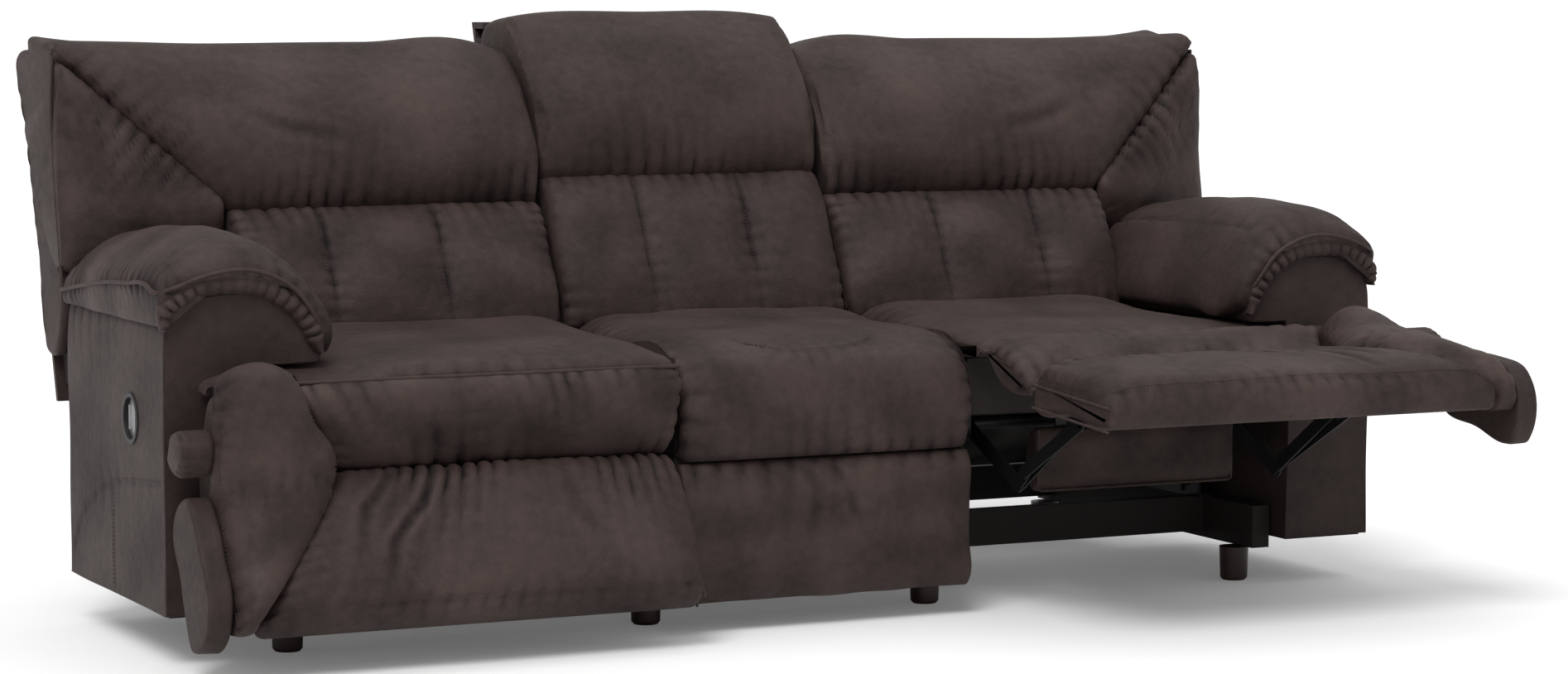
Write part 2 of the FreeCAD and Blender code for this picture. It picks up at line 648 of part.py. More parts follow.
def side_block():
    """Wedge that deepens the outer end of the ottoman towards its tip."""
    top = OTTOMAN_HINGE_UP - OTTOMAN_BOARD + 2.0
    under = OTTOMAN_HINGE_UP
    shape = slab("yz", OTTOMAN_EDGE_X + PAIR_GAP, SIDE_BLOCK_X, (36.0, top),
                 [(OTTOMAN_LENGTH - 4.0, top), (OTTOMAN_LENGTH - 4.0, under + 52.0),
                  ((OTTOMAN_LENGTH - 10.0, under + 60.0), (OTTOMAN_LENGTH - 22.0, under + 62.0)),
                  (48.0, under + 31.0), ((38.0, under + 27.0), (36.0, under + 17.0))])
    edges = [e for e in shape.Edges if e.BoundBox.XMin > SIDE_BLOCK_X - 0.1]
    return shape.makeFillet(5.0, edges)


def ottoman_brackets():
    """Steel ears under the ottoman board, each with the pins of its two links."""
    pieces = []
    for index, (x0, x1) in enumerate(mech_layers(2)):
        eyes = [(UPPER_EYE[0], -UPPER_EYE[1]), (IDLER_EYE[0], -IDLER_EYE[1])]
        shape = slab("yz", x0, x1, (OTTOMAN_START + 2.0, OTTOMAN_HINGE_UP),
                     [(180.0, OTTOMAN_HINGE_UP), (170.0, OTTOMAN_HINGE_UP + 12.0),
                      (eyes[1][0] + 14.0, eyes[1][1] + 8.0), (eyes[1][0], eyes[1][1] + 12.0),
                      (eyes[0][0] + 10.0, eyes[0][1] + 12.0), (eyes[0][0] - 6.0, eyes[0][1] + 12.0),
                      (eyes[0][0] - 12.0, eyes[0][1])])
        flange = sorted((x0 if index == 0 else x1, (x0 + 24.0) if index == 0 else (x1 - 24.0)))
        tab = block(*flange, 92.0, 180.0, OTTOMAN_HINGE_UP, OTTOMAN_HINGE_UP + 3.0)
        shape = shape.fuse(tab)
        upper = mech_layers(3)[index]
        idler = mech_layers(1)[index]
        low = min(x0, upper[0])
        high = max(x1, upper[1])
        shape = shape.fuse(rod(low, high, *eyes[0], LINK_PIN_R))
        low = min(x0, idler[0])
        high = max(x1, idler[1])
        shape = shape.fuse(rod(low, high, *eyes[1], LINK_PIN_R))
        pieces.append(shape)
    return pieces


def drive_links(pose):
    """Drive link of each side with its rivets, and the torque tube that joins them."""
    pieces = []
    inner, outer = mech_layers(2)
    for index, (x0, x1) in enumerate((inner, outer)):
        points = [DRIVE_PIVOT, pose.upper_root]
        shape = bar(x0, x1, points, LINK_HALF + 3.0)
        shape = shape.fuse(bar(x0, x1, [pose.upper_root, pose.idler_root], LINK_HALF))
        shape = shape.cut(rod(x0 - 1, x1 + 1, *DRIVE_PIVOT, TUBE_R))
        upper = mech_layers(3)[index]
        idler = mech_layers(1)[index]
        shape = shape.fuse(rod(min(x0, upper[0]), max(x1, upper[1]), *pose.upper_root,
                               LINK_PIN_R))
        shape = shape.fuse(rod(min(x0, idler[0]), max(x1, idler[1]), *pose.idler_root,
                               LINK_PIN_R))
        pieces.append(shape.removeSplitter())
    tube = ring(MECH_INNER_X - 1.5, MECH_OUTER_X + 1.5, *DRIVE_PIVOT, TUBE_R, TUBE_R - TUBE_WALL)
    pieces.append(tube)
    return pieces


def swing_links(pose, root, eye, layer, play):
    """One link on each side from its rivet on the drive link to its eye on the ottoman."""
    pieces = []
    for x0, x1 in mech_layers(layer):
        shape = bar(x0, x1, [root, eye], LINK_HALF)
        shape = shape.cut(rod(x0 - 1, x1 + 1, *root, LINK_PIN_R + RUN_FIT))
        shape = shape.cut(rod(x0 - 1, x1 + 1, *eye, LINK_PIN_R + play))
        pieces.append(shape)
    return pieces


# Backs


def back_line(z):
    """y of the rear panel's outer face at a height."""
    share = (z - REAR_FOOT[1]) / (REAR_HEAD[1] - REAR_FOOT[1])
    return mix(REAR_FOOT[0], REAR_HEAD[0], share)


def frame_front(z):
    """y of the front of a back's posts at a height."""
    return back_line(z) - REAR_PANEL - 1.0 - FRAME_DEPTH


def back_posts(low, high, top):
    """Side posts and rails of a back."""
    pieces = []
    post = 24.0
    for x0 in (low, high - post):
        pieces.append(slab("yz", x0, x0 + post, (frame_front(FRAME_FOOT), FRAME_FOOT),
                           [(frame_front(FRAME_FOOT) + FRAME_DEPTH, FRAME_FOOT),
                            (frame_front(top) + FRAME_DEPTH, top), (frame_front(top), top)]))
    for z in (LOW_RAIL_Z, 700.0, top - 60.0):
        y = frame_front(z + 60.0)
        pieces.append(block(low + post, high - post, y, y + 22.0, z, z + 60.0))
    return pieces


def back_straps():
    """Steel arms that carry a back on its pins, each with a flange on the lower rail."""
    pieces = []
    half = 14.0
    rail_y = frame_front(LOW_RAIL_Z + 60.0)
    for index, (x0, x1) in enumerate(mech_layers(1)):
        shape = bar(x0, x1, [BACK_PIVOT, (560.0, 396.0), (rail_y - half, LOW_RAIL_Z + 30.0)], half)
        flange = (x0, x0 + 32.0) if index == 0 else (x1 - 32.0, x1)
        shape = shape.fuse(block(*flange, rail_y - 4.0, rail_y, LOW_RAIL_Z + 4.0,
                                 LOW_RAIL_Z + 56.0))
        shape = shape.cut(rod(x0 - 1, x1 + 1, *BACK_PIVOT, BACK_PIN_R + RUN_FIT))
        pieces.append(shape)
    return pieces


def rear_panel(low, high, top, banded):
    """Covered panel over the back's rear, with a cap over its top and a band down its side."""
    inner = back_line(top) - REAR_PANEL
    panel = slab("yz", low, high, (REAR_FOOT[0] - REAR_PANEL, REAR_FOOT[1]),
                 [REAR_FOOT, (back_line(top), top), (inner, top)])
    cap_from = frame_front(top) + 1.0
    cap = slab("yz", low, high, (cap_from, top - REAR_PANEL),
               [(back_line(top - REAR_PANEL), top - REAR_PANEL), (back_line(top), top),
                (cap_from + 4.0, top)])
    cover = panel.fuse(cap)
    if banded:
        band = slab("yz", high - REAR_PANEL, high, (frame_front(BAND_FOOT) + 1.0, BAND_FOOT),
                    [(back_line(BAND_FOOT), BAND_FOOT), (back_line(top), top),
                     (cap_from, top)])
        cover = cover.fuse(band)
    return cover.removeSplitter()


def lumbar_section(x, bulge, drop, rise):
    """Section of a lumbar cushion between its seams, rise higher than an outer one."""
    low_y, low_z = LUMBAR_BOTTOM
    high_y = LUMBAR_TOP[0] + BACK_SLOPE * rise
    high_z = LUMBAR_TOP[1] + rise - CREASE
    middle = (0.5 * (low_y + high_y) - bulge, 0.5 * (low_z + high_z) + bulge * 0.4)
    rear_low = frame_front(low_z + drop) - SOFT_GAP
    rear_high = frame_front(high_z - drop) - SOFT_GAP
    return outline("yz", x, (low_y + drop, low_z + drop),
                   [(rear_low, low_z + drop), (rear_high, high_z - drop),
                    (high_y + drop, high_z - drop), (middle, (low_y + drop, low_z + drop))])


def channel_rows(low, high, side_draw, rise, seams):
    """Rows of a lumbar cushion: full in a channel, drawn in at a seam, given as shares."""
    stops = [low] + [mix(low, high, share) for share in seams] + [high]
    rows = [(low, 2.0, side_draw, rise)]
    for start, end in zip(stops[:-1], stops[1:]):
        rows.append((0.5 * (start + end), 24.0, 0.0, rise))
        if end < high:
            rows.append((end, 9.0, 1.0, rise))
    rows.append((high, 2.0, side_draw, rise))
    return rows


def lumbar(low, high):
    """Lumbar cushion with upright channels."""
    return padded(lumbar_section, channel_rows(low, high, 9.0, 0.0, OUTER_SEAMS))


def head_section(x, top, bulge, bottom_z):
    """Section of a head pillow, from its lower seam over the top of the back."""
    low_y = LUMBAR_TOP[0] + 7.0 + BACK_SLOPE * (bottom_z - LUMBAR_TOP[1])
    high_y = low_y + 0.5 * (top - bottom_z)
    brow = (high_y - 8.0, top - 22.0)
    middle = (0.5 * (low_y + brow[0]) - bulge, 0.5 * (bottom_z + brow[1]) + 0.35 * bulge)
    crest = (high_y + 34.0, top)
    rear_top = frame_front(top - 12.0) - SOFT_GAP
    return outline("yz", x, (low_y, bottom_z),
                   [(middle, brow), ((high_y + 8.0, top - 5.0), crest),
                    (rear_top, top - 12.0), (frame_front(bottom_z) - SOFT_GAP, bottom_z)])


def mitre(x):
    """Height of the mitred seam between head pillow and wing."""
    return mix(MITRE_Z, OUTER_BACK_TOP - 26.0, (x - MITRE_X) / (WING_X - MITRE_X))


def outer_head():
    """Head pillow of an outer back: full over the seat, and a mitred end over the wing."""
    low = SEAT_INNER_X + 2.0
    base = LUMBAR_TOP[1]
    top = OUTER_BACK_TOP
    rows = [(low, top - 24.0, 8.0, base + 8.0), (low + 60.0, top - 5.0, 32.0, base),
            (560.0, top, 38.0, base), (780.0, top - 2.0, 36.0, base),
            (MITRE_X - PAIR_GAP, top - 2.0, 28.0, base)]
    end_rows = []
    for share in (0.0, 0.3, 0.6, 0.88):
        x = mix(MITRE_X, WING_X, share)
        end_rows.append((x, top - 2.0 - 6.0 * share, mix(28.0, 4.0, share), mitre(x) + 4.0))
    end = Part.makeLoft([head_section(*row) for row in end_rows], True, True)
    return [padded(head_section, rows), end]


def wing_section(x, top, bulge):
    """Section of the wing bolster below the mitred seam."""
    bottom = BAND_FOOT
    low_y = WING_FRONT_Y
    high_y = LUMBAR_TOP[0] + 7.0 + BACK_SLOPE * (top - LUMBAR_TOP[1])
    middle = (0.5 * (low_y + high_y) - bulge, 0.5 * (bottom + top))
    return outline("yz", x, (low_y, bottom),
                   [(middle, (high_y, top)), (frame_front(top) - SOFT_GAP, top),
                    (frame_front(bottom) - SOFT_GAP, bottom)])


def wing_bolster():
    """Padded wing beside the head pillow, above and behind the arm."""
    sections = []
    for share, bulge in ((0.0, 2.0), (0.1, 9.0), (0.25, 16.0), (0.5, 22.0), (0.75, 18.0),
                         (0.9, 11.0), (1.0, 4.0)):
        x = mix(MITRE_X + 2.0, WING_X, share)
        sections.append(wing_section(x, mitre(x) - 3.0, bulge))
    return Part.makeLoft(sections, True, True)


def centre_head():
    """Head pillow of the centre back, taller than its neighbours."""
    edge = CENTRE_HALF - 1.0
    base = LUMBAR_TOP[1] + CENTRE_RISE
    top = CENTRE_BACK_TOP
    rows = [(-edge, top - 22.0, 8.0, base + 8.0), (-edge + 55.0, top - 4.0, 32.0, base),
            (0.0, top, 36.0, base), (edge - 55.0, top - 4.0, 32.0, base),
            (edge, top - 22.0, 8.0, base + 8.0)]
    return padded(head_section, rows)


def centre_lumbar():
    """Lumbar cushion of the centre back, with the same channels."""
    edge = CENTRE_HALF - 1.0
    return padded(lumbar_section, channel_rows(-edge, edge, 8.0, CENTRE_RISE, CENTRE_SEAMS))


# Centre seat


def centre_box():
    """Boards of the fixed centre seat."""
    edge = CENTRE_HALF - 2.0
    front = -48.0
    board = 20.0
    return [block(-edge, -edge + board, front + board, BOX_BACK_Y, BEAM_TOP, BOX_TOP),
            block(edge - board, edge, front + board, BOX_BACK_Y, BEAM_TOP, BOX_TOP),
            block(-edge, edge, front, front + board, BEAM_TOP, BOX_TOP - 14.0),
            block(-edge + board, edge - board, BOX_BACK_Y - board, BOX_BACK_Y,
                  CENTRE_BOARD_BOTTOM, BOX_TOP)]


def centre_seat_section(x, rise, draw):
    """Section of the centre seat: crowned top, long front roll down to the lower panel."""
    front = -64.0 + draw
    top = SEAT_TOP + rise
    return outline("yz", x, (-49.0, 292.0),
                   [(-49.0, BOX_TOP - 12.0), (-30.0, BOX_TOP + 2.0)] + seat_rear(top)
                   + [((210.0, top + SEAT_CROWN), (0.0, top)),
                      ((front - 6.0, top - 30.0), (front - 24.0, 400.0)),
                      ((front - 22.0, 330.0), (front - 2.0, 292.0))])


def centre_seat():
    """Cushion of the centre seat with its front roll, and the foam under it."""
    edge = CENTRE_HALF - 1.0
    rows = ((-edge, -12.0, 8.0), (-edge + 45.0, -1.0, 1.0), (0.0, 4.0, 0.0),
            (edge - 45.0, -1.0, 1.0), (edge, -12.0, 8.0))
    pad = padded(centre_seat_section, rows)
    foam = block(-edge + 24.0, edge - 24.0, 0.0, BOX_BACK_Y - 24.0, FOAM_BOTTOM, BOX_TOP + 8.0)
    return pad.fuse(foam)


def centre_panel():
    """Upholstered lower panel in front of the centre box, with a rounded hem."""
    edge = CENTRE_HALF - 1.0
    panel = block(-edge, edge, -70.0, -48.5, 52.0, 290.0)
    edges = [e for e in panel.Edges if e.BoundBox.YMax < -69.9]
    return panel.makeFillet(8.0, edges)


def centre_webbing():
    """Elastic straps under the centre foam."""
    edge = CENTRE_HALF - 22.0
    return [block(-edge, edge, 30.0 + row * 72.0, 78.0 + row * 72.0, FOAM_BOTTOM - 3.6,
                  FOAM_BOTTOM - SOFT_GAP) for row in range(6)]


def centre_back_carriers():
    """Blocks that stand the centre back's posts on the base."""
    edge = CENTRE_HALF - 2.0
    pieces = []
    for x0, x1 in ((-edge, -edge + 24.0), (edge - 24.0, edge)):
        pieces.append(slab("yz", x0, x1, (540.0, BEAM_TOP),
                           [(590.0, BEAM_TOP), (frame_front(FRAME_FOOT) + FRAME_DEPTH, FRAME_FOOT),
                            (frame_front(FRAME_FOOT), FRAME_FOOT)]))
    return pieces


# All nodes

nodes = {}


def keep(name, shapes):
    """Store a node's solids under its name."""
    if not isinstance(shapes, (list, tuple)):
        shapes = [shapes]
    solids = []
    for shape in shapes:
        solids.extend(shape.Solids)
    nodes[name] = solids


SHUT = {"left": 1.0, "right": 0.0}


def place_side(side, shapes):
    """Pieces made on the right, mirrored for the left."""
    if not isinstance(shapes, (list, tuple)):
        shapes = [shapes]
    if side == "right":
        return list(shapes)
    return [mirrored(shape) for shape in shapes]


def build_side(side):
    """One arm with its release, and one outer seat with its back and footrest."""
    pose = Footrest(SHUT[side])

    def add(name, shapes):
        keep(side + "_" + name, place_side(side, shapes))

    add("arm_cover", arm_cover())
    add("arm_pad", arm_pad())
    add("release_lever", release_lever())
    add("mechanism_plates", mechanism_plates() + apron_straps())
    add("seat_box", seat_box())
    add("seat_webbing", seat_webbing())
    add("seat_cushion", seat_cushion())
    add("lower_apron", lower_apron())
    low = SEAT_INNER_X + 4.0
    add("back_frame", back_posts(low, WING_X - 16.0, OUTER_BACK_TOP - 40.0))
    add("back_straps", back_straps())
    add("rear_panel", rear_panel(low - 2.0, WING_X, OUTER_BACK_TOP - 14.0, True))
    add("lumbar_cushion", lumbar(low - 2.0, LUMBAR_OUTER_X))
    add("head_pillow", outer_head())
    add("wing_bolster", wing_bolster())
    add("bridge_pad", [pose.on_bridge(flipped(piece)) for piece in (bridge_pad(), bridge_wing())])
    add("ear_block", pose.on_bridge(ear_block()))
    add("ottoman_board", pose.on_ottoman(ottoman_board()))
    add("ottoman_pad", pose.on_ottoman(ottoman_pad()))
    add("side_block", pose.on_ottoman(side_block()))
    add("ottoman_brackets", [pose.on_ottoman(piece) for piece in ottoman_brackets()])
    add("drive_links", drive_links(pose))
    upper_eye = ahead(pose.upper_root, pose.upper, UPPER_LENGTH)
    idler_eye = ahead(pose.idler_root, pose.idler, IDLER_LENGTH)
    add("upper_links", swing_links(pose, pose.upper_root, upper_eye, 3, UPPER_PLAY))
    add("idler_links", swing_links(pose, pose.idler_root, idler_eye, 1, IDLER_PLAY))


def flipped(shape):
    """Shape drawn with its outer side up, turned to the way the footrest frames face."""
    return shape.mirror(Vector(0, 0, 0), Vector(0, 0, 1))


def build_middle():
    """Base, feet, rails, cups and the fixed centre seat."""
    keep("base_beams", base_beams())
    keep("feet", [foot(x * side, y) for x in FOOT_XS for side in (1, -1) for y in FOOT_YS])
    rails = []
    for side in ("left", "right"):
        rails += place_side(side, [base_rail(MECH_INNER_X, 1), base_rail(MECH_OUTER_X, -1)])
    keep("base_rails", rails)
    keep("arm_frames", place_side("left", arm_frame()) + place_side("right", arm_frame()))
    keep("release_cups", place_side("left", release_cup()) + place_side("right", release_cup()))
    keep("centre_seat_box", centre_box())
    keep("centre_webbing", centre_webbing())
    keep("centre_seat_cushion", centre_seat())
    keep("centre_lower_panel", centre_panel())
    edge = CENTRE_HALF - 2.0
    keep("centre_back_frame", back_posts(-edge, edge, CENTRE_BACK_TOP - 45.0)
         + centre_back_carriers())
    keep("centre_rear_panel", rear_panel(-edge, edge, CENTRE_BACK_TOP - 16.0, False))
    keep("centre_head_pillow", centre_head())
    keep("centre_lumbar_cushion", centre_lumbar())


build_side("left")
build_side("right")
build_middle()


def y_centre():
    """Middle of the whole sofa from front to back, where its origin goes."""
    boxes = [solid.optimalBoundingBox(False) for name in nodes for solid in nodes[name]]
    return 0.5 * (min(box.YMin for box in boxes) + max(box.YMax for box in boxes))


ORIGIN_Y = y_centre()

for name in nodes:
    compound = Part.makeCompound(nodes[name])
    compound.translate(Vector(0, -ORIGIN_Y, 0))
    compound.exportStep("parts/" + name + ".step")

print("nodes", len(nodes), "origin y", round(ORIGIN_Y, 3))
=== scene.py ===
# Reclining sofa: leather forms, materials, floor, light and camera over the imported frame.
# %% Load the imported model
import json
import math

import bpy
import numpy as np
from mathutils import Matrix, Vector


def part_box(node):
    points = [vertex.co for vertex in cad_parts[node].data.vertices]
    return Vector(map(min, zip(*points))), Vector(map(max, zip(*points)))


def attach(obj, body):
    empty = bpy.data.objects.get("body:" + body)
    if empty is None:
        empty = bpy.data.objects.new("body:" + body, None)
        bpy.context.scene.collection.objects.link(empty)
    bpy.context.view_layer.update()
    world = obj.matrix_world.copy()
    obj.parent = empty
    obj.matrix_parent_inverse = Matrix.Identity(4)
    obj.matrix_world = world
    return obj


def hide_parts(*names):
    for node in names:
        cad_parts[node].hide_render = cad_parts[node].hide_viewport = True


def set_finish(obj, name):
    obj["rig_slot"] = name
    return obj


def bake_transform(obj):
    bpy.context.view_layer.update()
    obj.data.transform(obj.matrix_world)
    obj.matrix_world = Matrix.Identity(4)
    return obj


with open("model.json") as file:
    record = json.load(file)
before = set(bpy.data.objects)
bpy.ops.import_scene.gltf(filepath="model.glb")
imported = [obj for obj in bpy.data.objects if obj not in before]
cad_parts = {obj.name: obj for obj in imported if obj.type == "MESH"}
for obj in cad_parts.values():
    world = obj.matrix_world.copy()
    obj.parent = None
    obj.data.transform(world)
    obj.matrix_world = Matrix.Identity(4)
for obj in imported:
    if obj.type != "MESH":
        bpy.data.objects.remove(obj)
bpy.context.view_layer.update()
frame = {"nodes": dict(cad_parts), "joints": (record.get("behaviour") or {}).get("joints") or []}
MM = 0.001
FRONT_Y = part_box("left_arm_cover")[0][1]
hinges = {joint["name"]: joint.get("pos_m") for joint in frame["joints"]}
print("frame", len(frame["nodes"]), "nodes, front of the arms at", round(FRONT_Y, 4))

# %% [markdown]
# Every cushion here is a sewn cover round a filling. Its shape is told by a few sections, as a
# pattern cutter draws them, so each one is a ring of points carried from station to station.
# Curves with named slopes do that in whole arrays, and they stay close to the drawn points,
# which a subdivided box wouldn't.

# %% Curves through stations and closed rings


def through(stations, values, where):
    """Cubic through the values at the stations: between two of them, their values and the
    slopes of the neighbouring chords, mixed with the four Hermite weights."""
    x = np.asarray(stations, float)
    v = np.asarray(values, float)
    where = np.asarray(where, float)
    slope = np.gradient(v, x, axis=0)
    i = np.clip(np.searchsorted(x, where, side="right") - 1, 0, len(x) - 2)
    tall = (-1,) + (1,) * (v.ndim - 1)
    h = (x[i + 1] - x[i]).reshape(tall)
    t = ((where - x[i]) / (x[i + 1] - x[i])).reshape(tall)
    return ((1 + 2 * t) * (1 - t) ** 2 * v[i] + t * (1 - t) ** 2 * h * slope[i]
            + t * t * (3 - 2 * t) * v[i + 1] + t * t * (t - 1) * h * slope[i + 1])


def closed(keys, counts, soft=1.0):
    """Closed ring through the keys of each row: every span is a cubic whose end slopes are
    the mean direction of the two chords at its key, weighted by the other chord's length."""
    keys = np.asarray(keys, float)
    ahead = np.roll(keys, -1, axis=-2) - keys
    span = np.linalg.norm(ahead, axis=-1, keepdims=True) + 1e-9
    behind = np.roll(ahead, 1, axis=-2)
    back = np.roll(span, 1, axis=-2)
    slope = (ahead / span * back + behind / back * span) / (span + back)
    slope = slope * np.asarray(soft, float).reshape(-1, 1) if np.ndim(soft) else slope * soft
    parts = []
    for i, count in enumerate(counts):
        j = (i + 1) % keys.shape[-2]
        t = np.linspace(0, 1, count, endpoint=False)[:, None]
        a, b = keys[..., i:i + 1, :], keys[..., j:j + 1, :]
        h = span[..., i:i + 1, :]
        parts.append((1 + 2 * t) * (1 - t) ** 2 * a
                     + t * (1 - t) ** 2 * h * slope[..., i:i + 1, :]
                     + t * t * (3 - 2 * t) * b + t * t * (t - 1) * h * slope[..., j:j + 1, :])
    return np.concatenate(parts, axis=-2)


def stretch(low, high, radius, pitch):
    """Places from low to high with a quarter circle at each end: the place runs as one minus
    the cosine of the turn, and the inset as one minus its sine, times the radius."""
    turn = np.linspace(0, 0.5 * math.pi, 6)
    lead = low + radius * (1 - np.cos(turn))
    tail = high - radius * (1 - np.cos(turn[::-1]))
    count = max(int((high - low - 2 * radius) / pitch), 2)
    middle = np.linspace(low + radius, high - radius, count + 1)[1:-1]
    inset = radius * (1 - np.sin(turn))
    return (np.concatenate([lead, middle, tail]),
            np.concatenate([inset, np.zeros(len(middle)), inset[::-1]]))


def drawn_in(ring, inset):
    """Ring moved towards its inside by the inset of its row, along the normal of the chord
    between each point's neighbours."""
    chord = np.roll(ring, -1, axis=1) - np.roll(ring, 1, axis=1)
    normal = np.stack([chord[..., 1], -chord[..., 0]], axis=-1)
    normal /= np.linalg.norm(normal, axis=-1, keepdims=True) + 1e-9
    away = ring - ring.mean(axis=1, keepdims=True)
    side = np.sign((normal * away).sum(axis=(1, 2), keepdims=True))
    return ring - normal * side * inset[:, None, None]


def carried(stations, sections, counts, low, high, radius, pitch, axis=0, soft=1.0):
    """Grid of a cushion: the sections' keys are carried along the stations, closed to rings,
    drawn in at both ends, and set at their place on the axis."""
    where, inset = stretch(low, high, radius, pitch)
    ring = drawn_in(closed(through(stations, sections, where), counts, soft), inset)
    place = np.broadcast_to(where[:, None], ring.shape[:2])
    parts = [ring[..., 0], ring[..., 1]]
    parts.insert(axis, place)
    return np.stack(parts, axis=-1)


def outward(grid):
    """Normals of a grid whose second way is closed: cross product of the two differences."""
    across = np.gradient(grid, axis=0)
    around = np.roll(grid, -1, axis=1) - np.roll(grid, 1, axis=1)
    normal = np.cross(across, around)
    normal /= np.linalg.norm(normal, axis=-1, keepdims=True) + 1e-9
    away = grid - grid.mean(axis=1, keepdims=True)
    return normal * np.sign((normal * away).sum())


print("curves ready")

# %% [markdown]
# Leather pulled into a seam gathers in short folds that die out a hand's width away, lies in
# long soft waves over foam, and creases where it bends. Each of these is a height along the
# surface normal, worked out from the distance to the seam line. A sculpted image would do it
# too, but then nothing could be measured or moved.

# %% Folds, seams and waves


def near_line(points, line):
    """Distance from each point to a line of straight runs, and the length along it of the
    nearest place."""
    line = np.asarray(line, float)
    run = np.diff(line, axis=0)
    length = np.linalg.norm(run, axis=1)
    start = np.concatenate([[0.0], np.cumsum(length)])
    near = np.full(points.shape[:-1], 1e9)
    at = np.zeros(points.shape[:-1])
    for i in range(len(run)):
        t = np.clip(((points - line[i]) @ run[i]) / length[i] ** 2, 0, 1)
        gap = np.linalg.norm(points - line[i] - t[..., None] * run[i], axis=-1)
        closer = gap < near
        near = np.where(closer, gap, near)
        at = np.where(closer, start[i] + t * length[i], at)
    return near, at


def groove(points, line, width, depth):
    """Sewn line: depth times the bell curve of the distance over the width, downwards."""
    near, _ = near_line(points, line)
    return -depth * np.exp(-(near / width) ** 2)


def crease(points, line, width, depth):
    """Fold in the skin: a narrow valley with a low ridge beside it, fading at both ends."""
    near, at = near_line(points, line)
    total = at.max() + 1e-6
    fade = np.clip(np.sin(math.pi * np.clip(at / total, 0.02, 0.98)), 0, 1) ** 0.6
    return depth * fade * (0.55 * np.exp(-((near - 1.7 * width) / width) ** 2)
                           - np.exp(-(near / width) ** 2))


def gathers(points, line, pitch, depth, reach, seed):
    """Folds pulled into a seam: a cusped wave along it, whose phase and strength wander,
    dying with the distance over the reach to the power of 1.3."""
    near, at = near_line(points, line)
    toss = np.random.default_rng(seed).uniform(0, 2 * math.pi, 4)
    phase = (2 * math.pi * at / pitch + 1.5 * np.sin(at / (2.7 * pitch) + toss[0])
             + 0.9 * np.sin(at / (1.3 * pitch) + toss[1]) + 0.02 * near)
    strength = 0.62 + 0.38 * np.sin(at / (2.1 * pitch) + toss[2])
    long = reach * (0.8 + 0.4 * np.sin(at / (1.7 * pitch) + toss[3]))
    fold = (1 - np.abs(np.sin(0.5 * phase))) ** 1.6
    return -1.5 * depth * strength * (fold - 0.15) * np.exp(-(near / long) ** 1.3)


def waves(points, length, height, seed, count=7):
    """Slack in the cover: the sum of sines in seeded directions, each near the length."""
    rng = np.random.default_rng(seed)
    total = np.zeros(points.shape[:-1])
    for _ in range(count):
        way = rng.normal(size=3)
        way *= 2 * math.pi / (length * rng.uniform(0.7, 1.5) * np.linalg.norm(way))
        total += np.sin(points @ way + rng.uniform(0, 2 * math.pi))
    return height * total / math.sqrt(count)


print("folds ready")

# %% [markdown]
# A filled cover swells between its seams. Blender's cloth does that with a little pressure
# and no gravity: the seams at the ends are held, the rest blows up until the leather is
# taut, and no point may travel further than the cap.

# %% Filling by cloth pressure


def faces_of(rows, columns):
    """Quads of a grid that is closed the second way."""
    r, c = np.meshgrid(np.arange(rows - 1), np.arange(columns), indexing="ij")
    n = (c + 1) % columns
    quads = np.stack([r * columns + c, r * columns + n,
                      (r + 1) * columns + n, (r + 1) * columns + c], axis=-1)
    return quads.reshape(-1, 4)


def caps_of(rows, columns):
    """The two end faces of a grid that is closed the second way, turned outwards like it."""
    return [list(range(columns))[::-1], list(range((rows - 1) * columns, rows * columns))]


def crescent_caps(rows, columns):
    """End faces of a crescent: each joins two neighbours to the two across its thickness."""
    k = np.arange(columns // 2 - 1)
    first = np.stack([k, columns - 1 - k, columns - 2 - k, k + 1], axis=-1).tolist()
    if columns % 2:
        first.append([len(k), len(k) + 2, len(k) + 1])
    return first + [[(rows - 1) * columns + c for c in face[::-1]] for face in first]


def filled(grid, hold, cap):
    """Grid after a short cloth run under pressure: each point's move is scaled back to the
    cap where it is longer, and held points stay."""
    rows, columns = grid.shape[:2]
    mesh = bpy.data.meshes.new("cloth_start")
    flat = (grid * MM).reshape(-1, 3)
    quads = faces_of(rows, columns).tolist()
    mesh.from_pydata(flat.tolist(), [], quads + caps_of(rows, columns))
    mesh.update()
    piece = bpy.data.objects.new("cloth_start", mesh)
    bpy.context.scene.collection.objects.link(piece)
    held = piece.vertex_groups.new(name="held")
    weights = np.clip(hold, 0, 1).reshape(-1)
    for level in (1.0, 0.6, 0.3):
        chosen = np.flatnonzero(np.abs(weights - level) < 0.16).tolist()
        held.add(chosen, level, "REPLACE")
    cloth = piece.modifiers.new("cloth", "CLOTH")
    values = cloth.settings
    values.quality = 4
    values.mass = 0.3
    values.tension_stiffness = 25
    values.compression_stiffness = 25
    values.shear_stiffness = 12
    values.bending_stiffness = 1.5
    values.use_pressure = True
    values.uniform_pressure_force = 4.0
    values.vertex_group_mass = "held"
    values.effector_weights.gravity = 0
    cloth.collision_settings.use_collision = False
    cloth.point_cache.frame_start = 1
    cloth.point_cache.frame_end = 20
    for step in range(1, 17):
        bpy.context.scene.frame_set(step)
    shown = piece.evaluated_get(bpy.context.evaluated_depsgraph_get())
    out = np.empty(len(flat) * 3)
    shown.data.vertices.foreach_get("co", out)
    move = out.reshape(-1, 3) / MM - grid.reshape(-1, 3)
    far = np.linalg.norm(move, axis=1, keepdims=True)
    move *= np.minimum(1.0, cap / (far + 1e-9))
    bpy.data.objects.remove(piece)
    bpy.data.meshes.remove(mesh)
    bpy.context.scene.frame_set(1)
    print("filled", rows, "x", columns, "most", round(float(far.max()), 1))
    return grid + move.reshape(grid.shape) * (1 - np.clip(hold, 0, 1))[..., None]


print("cloth ready")

